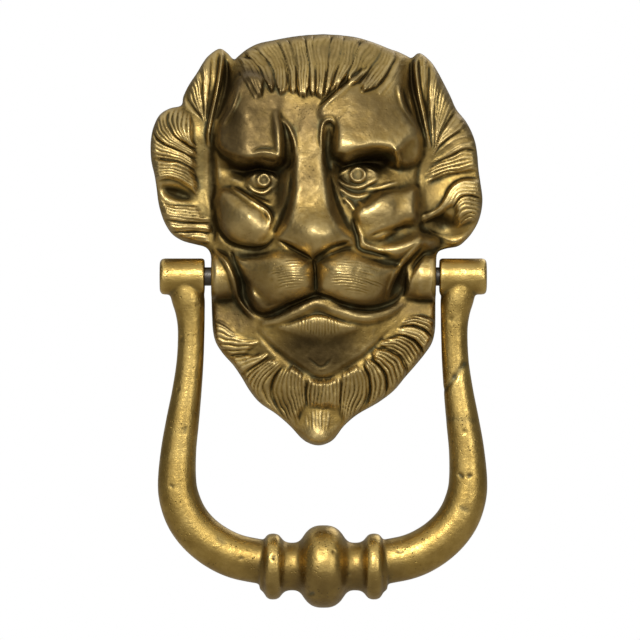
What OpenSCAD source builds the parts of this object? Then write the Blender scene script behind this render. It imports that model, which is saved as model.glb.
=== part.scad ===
// Door knocker: a cast lion's head mask with a swinging bail.
// Millimetres. +Z is up, the knocker faces -Y, and the door's outer face is the plane y = 0.
// The origin is the centre of the two-stud pattern on the door's outer face.

/* [Mask] */
// Width of the lion mask across the mane
mask_w = 132.8; // [112:0.4:160]
// Height of the lion mask from the crown to the beard tip
mask_h = 164.8; // [140:0.4:200]
// Height of the nose above the door
relief_h = 47; // [42:0.5:56]
// Least wall left in front of the hollow back
wall_t = 5; // [4:0.5:7]
// Width of the flat rim that bears on the door
rim_w = 6; // [4.5:0.5:7]

/* [Pivot] */
// Height of the pivot line above the door
pivot_h = 19; // [18.5:0.5:21]
// Diameter of the two side lugs
lug_d = 17.6; // [15:0.2:20]
// How far each lug face stands proud of the jaw
lug_proud = 0.1; // [0:0.1:2]
// Diameter of the pivot pins
pin_d = 7.4; // [5:0.2:8.6]
// Radial running clearance between pin and lug
pin_clear = 0.05; // [0.02:0.01:0.1]
// Gap between the left lug and the left eye
gap_left = 2.6; // [1:0.1:4]
// Gap between the right lug and the right eye
gap_right = 1.4; // [1:0.1:4]

/* [Bail] */
// Drop from the pivot line to the axis of the grip
bail_drop = 116; // [112:1:140]
// Diameter of the eyes
eye_d = 14.5; // [12.5:0.1:17]
// Length of the left eye along the pivot line
eye_len_left = 18; // [16:0.5:22]
// Length of the right eye along the pivot line
eye_len_right = 19; // [16:0.5:22]
// Thickness of the arms, as a share of the cast thickness
arm_scale = 1; // [0.85:0.01:1.1]
// Diameter of the central bulb of the grip
bulb_d = 33; // [27:0.2:35]

/* [Mounting] */
// Distance between the two studs
stud_spacing = 90; // [75:1:96]
// Diameter of the plain shank of each stud
stud_d = 6; // [5:0.5:8]
// Thickness of the door that the studs pass through
door_t = 44; // [30:1:60]

/* [Hidden] */
$fn = 64;

// The mask is drawn at its base size and scaled to the chosen one.
sx = mask_w / 132.8;
sz = mask_h / 164.8;
sy = relief_h / 46.9;
face_x = -3;
face_z = 20;
edge_h = 9;
crown_h = 30;
ring_n = 26;
cave_n = 6;
back_cut = 1;

// Pivot line and lugs
pivot_z = -8.4 * sz;
lug_x = 44.8 * sx + lug_proud;
lug_len = 8;
pin_r = pin_d / 2;
pin_press = 0.01;
head_r = pin_r + 2.1;
head_t = 2.6;
head_gap = 0.3;
pin_seat = 13;
pocket_r = head_r + 1.3;
pocket_len = head_t + 4;

// Bail
eye_r = eye_d / 2;
collar_x = 20.2;
collar_r = 13.2;
neck_r = 9.6;
arm_end_x = 24;
arm_sides = 24;
arm_steps = 2;

// Studs
stud_r = stud_d / 2;
thread_r = stud_r * 0.892;
boss_r = 6.5;
boss_gap = 1;
thread_in = 13;
washer_t = 1.6;
washer_r = 9;
nut_t = 5;
nut_r = stud_r * 1.925;
stud_over = 3;

brass = [0.66, 0.5, 0.24];
steel = [0.55, 0.55, 0.53];

// Outline of the mask against the door, anticlockwise from the crown: x, z
outline = [
    // crown and left end of the fringe
    [0, 88.8], [-7, 88.4], [-13.6, 87.6], [-20, 86.4], [-26.4, 85], [-31, 82.6], [-34, 80.2],
    // left ear, its tip and its tufted outer edge
    [-36, 78.8], [-38.6, 81.4], [-41.8, 83.2], [-46, 80.4], [-48.2, 77.6], [-50.8, 73.2],
    [-54, 68.4], [-56.2, 63.8], [-57, 60.2],
    // left side of the mane
    [-61.6, 59], [-65.6, 56.4], [-68, 51.6], [-69, 47], [-69.2, 42], [-68.8, 37.2],
    [-67.6, 32.2], [-66.8, 27], [-66.2, 22], [-65.2, 17.6], [-63.4, 12.8], [-60.6, 8.6],
    [-56.6, 6], [-51.6, 4.6], [-47.4, 3.4], [-45.2, 0.6],
    // left side of the jaw
    [-44.8, -5], [-44.8, -12], [-44.8, -19], [-44.6, -25], [-44.2, -30.4], [-43, -35],
    // beard, down to its tip and up again
    [-40, -39.6], [-36, -44], [-32.6, -49], [-29.6, -54], [-25.4, -59], [-19, -63.4],
    [-13.4, -68.2], [-9, -73], [-5.6, -75.2], [-2, -76], [1.4, -75.2], [4.4, -73.2],
    [8.2, -68.2], [13.6, -63.6], [21.6, -59], [28, -54.2], [32.4, -49], [36.6, -44.2],
    // right side of the jaw
    [40.4, -39.6], [43.4, -35], [44.6, -30], [44.8, -24], [44.8, -17], [44.8, -10], [45, -4],
    // right side of the mane
    [45.6, 1], [49, 2.8], [54, 3.8], [57, 6.2], [59.4, 9], [61.8, 13.2], [63.2, 18],
    [63.6, 23], [62.8, 29], [62, 34.8], [61.6, 40], [60.8, 45], [59.2, 49.6], [56.8, 54],
    // right ear, its tufted outer edge and its tip
    [53.2, 58.6], [51, 63.6], [48.6, 68.4], [46, 73.4], [43, 78], [38.6, 81.4], [35.4, 79.4],
    // right end of the fringe
    [33.4, 80.2], [30, 81.8], [26.4, 83], [21, 85.2], [14, 87.4], [7, 88.4]
];

// Swellings and furrows of the face: x, z, half-width, half-height, turn, height, squareness.
// A negative height sinks a furrow. Squareness 1 is a round swelling and 2 a flat-topped one.
face_form = [
    // brow pads and the frown between them
    [-31, 44, 13, 6.5, -6, 9, 2], [-19.6, 42, 5.4, 6.5, 10, 4, 1], [14, 47, 9, 7.5, 6, 9, 2], [29, 43.5, 10, 6, -10, 7, 2],
    [-14.6, 43, 3.2, 10, 2, -8, 1], [1.2, 44.5, 3.2, 8.5, -2, -8, 1], [-7, 53, 8, 8, 0, 3, 1],
    // eyes in their sockets
    [-27, 31, 12, 6, 0, -5, 1], [16, 32, 12, 6, 0, -5, 1], [-23.6, 29, 5.6, 4.2, 0, 6, 1], [14.2, 31.2, 6, 4.2, 0, 6, 1],
    // nose: the flat bridge, the wide end, its tip and the nostrils
    [-6.2, 39, 6.4, 9, 0, 6, 2], [-5.4, 26, 8.6, 12, 0, 9, 2], [-4, 13, 11, 8, 0, 9.8, 2], [-2.8, 9.2, 8, 6, 0, 6.6, 1],
    [-15.6, 8.4, 4.6, 5, 0, 8, 1], [9.6, 8, 4.6, 5, 0, 8, 1], [-14, 26, 3, 9, -8, -3, 1], [5.4, 26, 3, 9, 10, -3, 1],
    // cheeks
    [-33, 16, 7, 8, 14, 8, 1], [-33, 3, 9, 5, -24, 6, 1], [25, 17, 14, 5, 32, 8, 1], [28, 6.4, 11, 4.6, 22, 6, 1],
    // muzzle pads and the groove between them
    [-16.5, -7.4, 14, 10.5, -6, 13, 2], [13, -8.2, 17, 10, 5, 13, 2], [-3.6, -8, 3, 9, 0, -7, 1],
    // moustache line over the mouth
    [-18, -22.4, 13, 3.2, 22, 6, 1], [-1.6, -19.4, 5, 3.4, 0, 6, 1], [8, -22.6, 7, 3.2, -26, 5, 1], [24, -22, 12, 3.2, 8, 6, 1],
    // lower lip, chin facets and point of the chin
    [-2.6, -29.4, 12, 4.4, 0, 9, 2], [-13.4, -37, 9, 6, -28, 8, 1], [12.8, -37, 9, 6, 28, 8, 1], [-1.2, -47, 5, 4.4, 0, 9, 1],
    // locks of the beard and the curl at its tip
    [-39, -27, 3.6, 7.5, 22, 7, 1], [-35, -36.5, 3.6, 8, 34, 8, 1], [-27.6, -44.6, 3.8, 9, 34, 9, 1], [-19, -52, 3.8, 9, 26, 9, 1],
    [-10, -56.6, 4, 10, 14, 9, 1], [-0.6, -59, 3.8, 9, 0, 8, 1], [8.6, -56.4, 4, 10, -16, 9, 1], [17.6, -52, 3.8, 9, -26, 9, 1],
    [26, -45, 3.8, 9, -32, 9, 1], [33.4, -36.6, 3.6, 8, -30, 8, 1], [38.6, -27.6, 3.6, 7.5, -20, 7, 1], [-1.4, -69.8, 6.4, 6, 0, 9, 1],
    // mane at the sides
    [-59, 52, 7, 7, 0, 8, 1], [-59, 39, 9, 4.6, 16, 8, 1], [-57.6, 26, 8, 5.2, 4, 9, 1], [-54, 13, 9, 5, -12, 9, 1],
    [54, 52, 6, 8, 0, 8, 1], [52, 37.4, 9, 4.6, -14, 8, 1], [54.6, 23.6, 8, 5.2, 0, 9, 1], [52.6, 10.6, 9, 4.6, 12, 9, 1],
    // ears, a raised rim around a hollow
    [-44, 64, 3.4, 18, -5, 9, 1], [-37.6, 66, 4, 11, 0, -5, 1], [-51.4, 64, 4, 11, -16, 4, 1],
    [39.6, 61, 3.4, 18, 10, 9, 1], [33, 66, 4, 11, 0, -5, 1], [47, 61.6, 4, 11, 18, 4, 1],
    // locks of the fringe
    [-26, 74.6, 10, 4, 42, 8, 1], [-14, 76, 4, 9, -24, 7, 1], [-5, 77, 3.6, 9, 4, 7, 1], [5, 74, 4.4, 10, 22, 8, 1],
    [15, 76, 4.4, 9, 34, 7, 1], [25, 73, 10, 4, -42, 7, 1], [-1, 84, 24, 4, 0, 4, 1],
    // shoulders that carry the lugs
    [-41, -8.4, 6, 9, 0, 12, 1], [41, -8.4, 6, 9, 0, 12, 1], [-40, -22, 6, 10, 0, 5, 1], [40, -22, 6, 10, 0, 5, 1]
];

// Rows of the arm's path: share of the way out from the grip's end, share of the drop, radius
arm_path = [
    [0.97, 0.03, 6.6], [0.925, 0.08, 6.6], [0.9, 0.13, 5.8], [0.89, 0.19, 5.35], [0.903, 0.29, 5.4],
    [0.942, 0.393, 5.9], [0.995, 0.497, 6.6], [1.045, 0.6, 7.1], [1.064, 0.703, 7.7], [1.034, 0.767, 8.1],
    [0.942, 0.832, 8.4], [0.787, 0.888, 8.6], [0.575, 0.934, 8.8], [0.327, 0.966, 8.9], [0, 0.985, 8.9]
];

function swell(x, z, s) =
    let (dx = x - s[0])
    let (dz = z - s[1])
    let (u = (dx * cos(s[4]) + dz * sin(s[4])) / s[2])
    let (v = (dz * cos(s[4]) - dx * sin(s[4])) / s[3])
    let (q = u * u + v * v)
    q > 8 ? 0 : s[5] * exp(-pow(q, s[6]));

function total(v, i = 0, t = 0) = i == len(v) ? t : total(v, i + 1, t + v[i]);

// Height of the bare skull above the door, before the features are added
function skull(x, z) = edge_h + 3 + (crown_h - edge_h - 3) * exp(-pow(pow((x + 2) / 52, 2) + pow((z - 14) / 82, 2), 2));

// Height of the face, f being the share of the way to the outline, where the edge is rounded over
function relief(x, z, f) = edge_h + (skull(x, z) - edge_h + total([for (s = face_form) swell(x, z, s)])) * (1 - pow(f, 14));

// The hollow follows the face at a wall's distance, and is capped where the casting is thick.
function cave_cap(x, z) = 21 + 13 * exp(-pow((x + 3) / 17, 2) - pow((z - 4) / 20, 2));

function thin(x, z, f) = min([for (d = [[0, 0], [3, 0], [-3, 0], [0, 3], [0, -3]]) relief(x + d[0], z + d[1], f)]);

function cave(x, z, f) = max(3, min(cave_cap(x, z), thin(x, z, min(1, f + 0.05)) - wall_t / sy));

function at_share(p, f) = [face_x + (p[0] - face_x) * f, face_z + (p[1] - face_z) * f];

function reach(p) = norm([p[0] - face_x, p[1] - face_z]);

function place(x, y, z) = [x * sx, y * sy, z * sz];

// The outline with a point added halfway along each side
function halved(v) = [for (i = [0:len(v) - 1]) for (t = [0, 0.5]) v[i] * (1 - t) + v[(i + 1) % len(v)] * t];

module mask_shell() {
    rim = halved(outline);
    n = len(rim);
    front = [for (j = [1:ring_n]) for (p = rim) let (f = pow(j / ring_n, 0.9)) let (q = at_share(p, f)) place(q[0], -relief(q[0], q[1], f), q[1])];
    back_edge = [for (p = rim) place(p[0], back_cut, p[1])];
    mouth = [for (p = rim) let (f = 1 - rim_w / reach(p)) let (q = at_share(p, f)) place(q[0], back_cut, q[1])];
    hollow = [for (j = [cave_n:-1:1]) for (p = rim) let (f = (1 - rim_w / reach(p)) * (j / cave_n - 0.01)) let (q = at_share(p, f)) place(q[0], -cave(q[0], q[1], f), q[1])];
    nose = place(face_x, -relief(face_x, face_z, 0), face_z);
    roof = place(face_x, -cave(face_x, face_z, 0), face_z);
    rows = ring_n + 2 + cave_n;
    pts = concat(front, back_edge, mouth, hollow, [nose, roof]);
    band = [for (r = [0:rows - 2]) for (k = [0:n - 1]) let (a = r * n + k) let (b = r * n + (k + 1) % n) for (t = [[a, b, b + n], [a, b + n, a + n]]) t];
    front_fan = [for (k = [0:n - 1]) [rows * n, (k + 1) % n, k]];
    back_fan = [for (k = [0:n - 1]) [rows * n + 1, (rows - 1) * n + k, (rows - 1) * n + (k + 1) % n]];
    polyhedron(points = pts, faces = concat(band, front_fan, back_fan), convexity = 10);
}

// A round bar along X from x0 to x1, at the height of the pivot line
module on_pivot(x0, x1, r) {
    translate([min(x0, x1), -pivot_h, pivot_z])
    rotate([0, 90, 0])
    cylinder(h = abs(x1 - x0), r = r);
}

// One lug with the clear pocket behind it for the pin's head, side being -1 or 1
module lug_solid(side) {
    on_pivot(side * lug_x, side * (lug_x - lug_len - 2), lug_d / 2);
}

module lug_holes(side) {
    on_pivot(side * (lug_x + 1), side * (lug_x - lug_len - 1), pin_r + pin_clear);
    on_pivot(side * (lug_x - lug_len), side * (lug_x - lug_len - pocket_len), pocket_r);
    translate([side > 0 ? lug_x - lug_len - pocket_len : -lug_x + lug_len, -pivot_h, pivot_z - pocket_r])
    cube([pocket_len, pivot_h + 2, 2 * pocket_r]);
}

// A round bar along Y from y0 to y1, at height z
module on_stud(z, y0, y1, r) {
    translate([0, y0, z])
    rotate([-90, 0, 0])
    cylinder(h = y1 - y0, r = r);
}

module lion_mask() {
    color(brass)
    difference() {
        union() {
            mask_shell();
            lug_solid(-1);
            lug_solid(1);
            on_stud(stud_spacing / 2, -24 * sy, -boss_gap, boss_r);
            on_stud(-stud_spacing / 2, -23 * sy, -boss_gap, boss_r);
        }
        translate([-mask_w, 0, -mask_h])
        cube([2 * mask_w, 10, 2 * mask_h]);
        lug_holes(-1);
        lug_holes(1);
        on_stud(stud_spacing / 2, -thread_in - boss_gap - 0.5, 1, thread_r - pin_press);
        on_stud(-stud_spacing / 2, -thread_in - boss_gap - 0.5, 1, thread_r - pin_press);
    }
}

// Eye of the bail: a plain barrel with eased ends
module eye(x0, len) {
    translate([x0, -pivot_h, pivot_z])
    rotate([0, 90, 0])
    rotate_extrude()
    polygon([[0, 0], [eye_r - 0.6, 0], [eye_r, 0.6], [eye_r, len - 1.6], [eye_r - 0.5, len - 0.5], [eye_r - 1.6, len], [0, len]]);
}

function spline(a, b, c, d, t) = ((2 * b) + (c - a) * t + (2 * a - 5 * b + 4 * c - d) * t * t + (3 * b - a - 3 * c + d) * t * t * t) / 2;

function arm_row(i) = arm_path[max(0, min(len(arm_path) - 1, i))];

// One arm, swept down and in from an eye at eye_x to the grip
module arm(eye_x, side) {
    last = (len(arm_path) - 1) * arm_steps;
    rows = [for (i = [0:last]) let (k = floor(i / arm_steps)) spline(arm_row(k - 1), arm_row(k), arm_row(k + 1), arm_row(k + 2), i / arm_steps - k)];
    mid = [for (r = rows) [arm_end_x + (eye_x - arm_end_x) * r[0], -bail_drop * r[1]]];
    pts = [for (i = [0:last])
        let (g = mid[min(last, i + 1)] - mid[max(0, i - 1)])
        let (w = g / norm(g))
        for (k = [0:arm_sides - 1])
            let (a = 360 * k / arm_sides)
            let (r = rows[i][2] * arm_scale)
            [side * (mid[i][0] - w[1] * r * cos(a)), -pivot_h + side * r * sin(a), pivot_z + mid[i][1] + w[0] * r * cos(a)]];
    n = arm_sides;
    band = [for (i = [0:last - 1]) for (k = [0:n - 1]) let (a = i * n + k) let (b = i * n + (k + 1) % n) for (t = [[a, b, b + n], [a, b + n, a + n]]) t];
    top = [[for (k = [n - 1:-1:0]) k]];
    end = [[for (k = [0:n - 1]) last * n + k]];
    polyhedron(points = pts, faces = concat(band, top, end), convexity = 4);
}

// Turned grip: a bead at each end, waisted necks and the bulb, along X
module grip() {
    bead = [for (a = [-80:20:80]) [collar_r - 4 + 4 * cos(a), collar_x + 3.9 * sin(a)]];
    bulb = [for (a = [-54:6:54]) [bulb_d / 2 * cos(a), 11.2 * sin(a)]];
    left_bead = [for (p = bead) [p[0], p[1] - 2 * collar_x]];
    profile = concat([[0, -arm_end_x - 0.6], [8.6, -arm_end_x - 0.6]], left_bead, [[neck_r, -13.6]], bulb, [[neck_r, 13.6]], bead, [[8.6, arm_end_x + 0.6], [0, arm_end_x + 0.6]]);
    translate([0, -pivot_h, pivot_z - bail_drop])
    rotate([0, 90, 0])
    rotate_extrude()
    polygon(profile);
}

left_in = lug_x + gap_left;
right_in = lug_x + gap_right;

module bail() {
    color(brass)
    difference() {
        union() {
            eye(right_in, eye_len_right);
            mirror([1, 0, 0])
            eye(left_in, eye_len_left);
            arm(right_in + eye_len_right / 2, 1);
            arm(left_in + eye_len_left / 2, -1);
            grip();
        }
        on_pivot(-left_in + 1, -left_in - pin_seat - 0.4, pin_r - pin_press);
        on_pivot(right_in - 1, right_in + pin_seat + 0.4, pin_r - pin_press);
    }
}

// Pivot pin with a slotted head inside the mask
module pin(side, tip_x) {
    head_x = lug_x - lug_len - head_gap;
    color(steel)
    difference() {
        union() {
            on_pivot(side * (head_x - 1), side * tip_x, pin_r);
            on_pivot(side * head_x, side * (head_x - head_t), head_r);
        }
        translate([side > 0 ? head_x - head_t - 1 : -head_x + head_t - 0.2, -pivot_h - 0.7, pivot_z - head_r - 1])
        cube([1.2, 1.4, 2 * head_r + 2]);
    }
}

module left_pivot_pin() {
    pin(-1, left_in + pin_seat);
}

module right_pivot_pin() {
    pin(1, right_in + pin_seat);
}

// Stud: a plain shank across the door, threaded at both ends
module stud(z) {
    tip = door_t + washer_t + nut_t + stud_over;
    color(steel)
    union() {
        on_stud(z, -boss_gap + 0.1, door_t - 0.1, stud_r);
        on_stud(z, -boss_gap - thread_in, 0, thread_r);
        on_stud(z, door_t - 1, tip - 1, thread_r);
        translate([0, tip - 1, z])
        rotate([-90, 0, 0])
        cylinder(h = 1, r1 = thread_r, r2 = thread_r - 0.8);
    }
}

module washer(z) {
    color(steel)
    difference() {
        on_stud(z, door_t, door_t + washer_t, washer_r);
        on_stud(z, door_t - 1, door_t + washer_t + 1, stud_r + 0.2);
    }
}

module nut(z) {
    color(steel)
    difference() {
        intersection() {
            translate([0, door_t + washer_t, z])
            rotate([-90, 0, 0])
            cylinder(h = nut_t, r = nut_r, $fn = 6);
            translate([0, door_t + washer_t, z])
            rotate([-90, 0, 0])
            rotate_extrude()
            polygon([[0, 0], [nut_r - 0.6, 0], [nut_r, 0.4], [nut_r, nut_t - 0.4], [nut_r - 0.6, nut_t], [0, nut_t]]);
        }
        on_stud(z, door_t, door_t + washer_t + nut_t + 1, thread_r - pin_press);
    }
}

module upper_mount_stud() {
    stud(stud_spacing / 2);
}

module lower_mount_stud() {
    stud(-stud_spacing / 2);
}

module upper_mount_washer() {
    washer(stud_spacing / 2);
}

module lower_mount_washer() {
    washer(-stud_spacing / 2);
}

module upper_mount_nut() {
    nut(stud_spacing / 2);
}

module lower_mount_nut() {
    nut(-stud_spacing / 2);
}

lion_mask();
bail();
left_pivot_pin();
right_pivot_pin();
upper_mount_stud();
lower_mount_stud();
upper_mount_washer();
lower_mount_washer();
upper_mount_nut();
lower_mount_nut();
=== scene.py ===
"""Lion's head door knocker: cast brass mask and bail, steel pins and fixings.

Lengths are in millimetres up to the stage, and the knocker faces -Y.
"""
import math

import bpy
import numpy as np
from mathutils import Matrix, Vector


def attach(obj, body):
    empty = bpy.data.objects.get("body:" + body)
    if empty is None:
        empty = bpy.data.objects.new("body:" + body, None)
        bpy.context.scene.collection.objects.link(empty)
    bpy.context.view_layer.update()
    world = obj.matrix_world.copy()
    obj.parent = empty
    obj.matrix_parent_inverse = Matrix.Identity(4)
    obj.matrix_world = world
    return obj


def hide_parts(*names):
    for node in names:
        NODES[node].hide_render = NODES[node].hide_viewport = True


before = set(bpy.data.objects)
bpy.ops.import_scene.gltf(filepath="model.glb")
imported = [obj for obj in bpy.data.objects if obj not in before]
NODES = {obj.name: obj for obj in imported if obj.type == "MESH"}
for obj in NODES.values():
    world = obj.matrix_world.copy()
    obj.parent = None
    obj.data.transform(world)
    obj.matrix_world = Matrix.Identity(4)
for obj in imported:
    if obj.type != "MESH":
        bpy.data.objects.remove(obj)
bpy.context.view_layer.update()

MM = 0.001
FAR = 1e9
GRID = 0.33  # spacing of the mask's front surface
LAYERS = ("fine", "middle", "deep", "brown_and_painted_shade", "green", "painted_light_and_patina")  # what the brass shader reads

# the pivot line, the lugs and the pins
PIVOT_Y, PIVOT_Z = -19.0, -8.4
LUG_X = 44.9       # how far out the lugs reach
BAR_R = 9.1        # radius of the bars that carry the lugs
PIN_HEAD_X = 33.6  # where the pins' heads begin
SLEEVE_R = 6.9     # radius of the metal round the heads
PIN_BORE = 3.78

# the mask
EDGE_R = 2.6       # how far in from the outline the front rounds over
EDGE_DROP = 2.4    # how far it drops there
WALL = 5.6         # least thickness of the casting over its hollow back
BACK_X, BACK_Z = -3.0, 20.0  # centre of the hollow back
STUD_Z = 45        # height of the stud bosses, above and below the middle
FRINGE = 3         # which patch of hair is the crown and fringe
STRANDS, FIRST_STRAND = 80, 8  # strands drawn for a patch, and the one where its numbers start
ROWS = 60          # engraved lines drawn for a patch

# the bail
GAP_LEFT, GAP_RIGHT = 2.6, 1.4  # from lug to eye
EYE_LEFT, EYE_RIGHT = 18.0, 19.0
EYE_R = 7.25
DROP = 116.0       # from the pivot line down to the grip
ARM_IN = 24.0      # where the arms meet the grip
AXIS_R = 0.01      # a lathe profile's distance from its axis where it closes

# the stage, in metres
FLOOR_Z = -0.30
CARD_SIZE = 3

# Edge of the mask: x, z
OUTLINE = [
    # crown and left end of the fringe
    (0, 88.8), (-7, 88.4), (-13.6, 87.6), (-20, 86.4), (-26.4, 85), (-31, 82.6), (-34, 80.2),
    # left ear and its tufted outer edge
    (-36, 78.8), (-38.6, 81.4), (-41.8, 83.2), (-46, 80.4), (-48.2, 77.6), (-50.8, 73.2),
    (-54, 68.4), (-56.2, 63.8), (-57, 60.2),
    # left side of the mane
    (-61.6, 59), (-65.6, 56.4), (-68, 51.6), (-69, 47), (-69.2, 42), (-68.8, 37.2),
    (-67.6, 32.2), (-66.8, 27), (-66.2, 22), (-65.2, 17.6), (-63.4, 12.8), (-60.6, 8.6),
    (-56.6, 6), (-51.6, 4.6), (-47.4, 3.4), (-45.2, 0.6),
    # left side of the jaw
    (-44.8, -5), (-44.8, -12), (-44.8, -19), (-44.6, -25), (-44.2, -30.4), (-43, -35),
    # beard
    (-40, -39.6), (-36, -44), (-32.6, -49), (-29.6, -54), (-25.4, -59), (-19, -63.4),
    (-13.4, -68.2), (-9, -73), (-5.6, -75.2), (-2, -76), (1.4, -75.2), (4.4, -73.2),
    (8.2, -68.2), (13.6, -63.6), (21.6, -59), (28, -54.2), (32.4, -49), (36.6, -44.2),
    # right side of the jaw
    (40.4, -39.6), (43.4, -35), (44.6, -30), (44.8, -24), (44.8, -17), (44.8, -10), (45, -4),
    # right side of the mane
    (45.6, 1), (49, 2.8), (54, 3.8), (57, 6.2), (59.4, 9), (61.8, 13.2), (63.2, 18),
    (63.6, 23), (62.8, 29), (62, 34.8), (61.6, 40), (60.8, 45), (59.2, 49.6), (56.8, 54),
    # right ear and the right end of the fringe
    (53.2, 58.6), (51, 63.6), (48.6, 68.4), (46, 73.4), (43, 78), (38.6, 81.4), (35.4, 79.4),
    (33.4, 80.2), (30, 81.8), (26.4, 83), (21, 85.2), (14, 87.4), (7, 88.4),
]

# Height of the casting under its features: x, z, height
BASE = [
    (0, 86, 16), (-26, 82, 15), (26, 80, 15), (0, 76, 25), (-20, 73, 23), (20, 71, 24), (-7, 62, 31),
    (-7, 52, 33.4), (0, 58, 33.4), (6, 64, 32), (-20, 60, 31), (-16, 66, 29.6), (-14, 45, 33),
    (-14, 38, 31.5), (1.6, 46, 34), (2.4, 38, 32.6),
    (-37.6, 58, 27), (-41.4, 49, 26.4), (-42, 45, 24.6), (-34, 67, 26), (32.6, 60, 27), (36.6, 51, 26),
    (28, 69, 26), (-46, 74, 14), (-42.6, 63, 18), (-52, 60, 15), (45, 70, 14), (41.6, 58, 18),
    (-37.4, 77, 14), (35.6, 77, 14),
    (-61, 48, 19), (-63, 30, 20), (-59, 13, 18), (-48.5, 34, 19), (-47, 12, 18), (56, 46, 19), (57, 24, 20),
    (47, 30, 19.5), (43, 9, 19), (55, 8, 17),
    (-27, 31, 25), (-36, 34, 23.5), (16, 32, 25.6), (28, 35, 25), (-17, 34, 27), (5, 36, 28), (-30, 50, 29),
    (14, 52, 30), (31, 50, 27),
    (-30, 22, 27), (8, 24, 31), (20, 25, 28.5), (-31, 14, 29), (24, 16, 30), (36, 22, 26), (-43, 20, 21),
    (-41, 30, 21.5), (38, 30, 23),
    (-19, 20, 30), (8, 14, 33), (-14, -7, 37), (8, -7, 37), (-30, 0, 28.5), (24, -4, 30), (-3.5, -5, 36.5),
    (36, 8, 25), (-40, 4, 22),
    (-35, -12, 21), (32, -12, 20.5), (-39, -22, 18.6), (39, -21, 19.6), (-32, -24, 21), (-2, -20, 31),
    (-22, -24, 26), (20, -23, 27),
    (-2, -30, 31), (-15, -36, 27), (13, -36, 27), (0, -40, 28.4), (0, -46, 26.6), (-38, -36, 18.5),
    (38, -36, 18.5), (-26, -49, 21.6), (26, -49, 21.6),
    (0, -57, 24.6), (-15, -60, 20), (13, -60, 20), (-1.9, -69, 20.5), (-40, -29, 19.6), (40, -29, 19.6),
]

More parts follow.
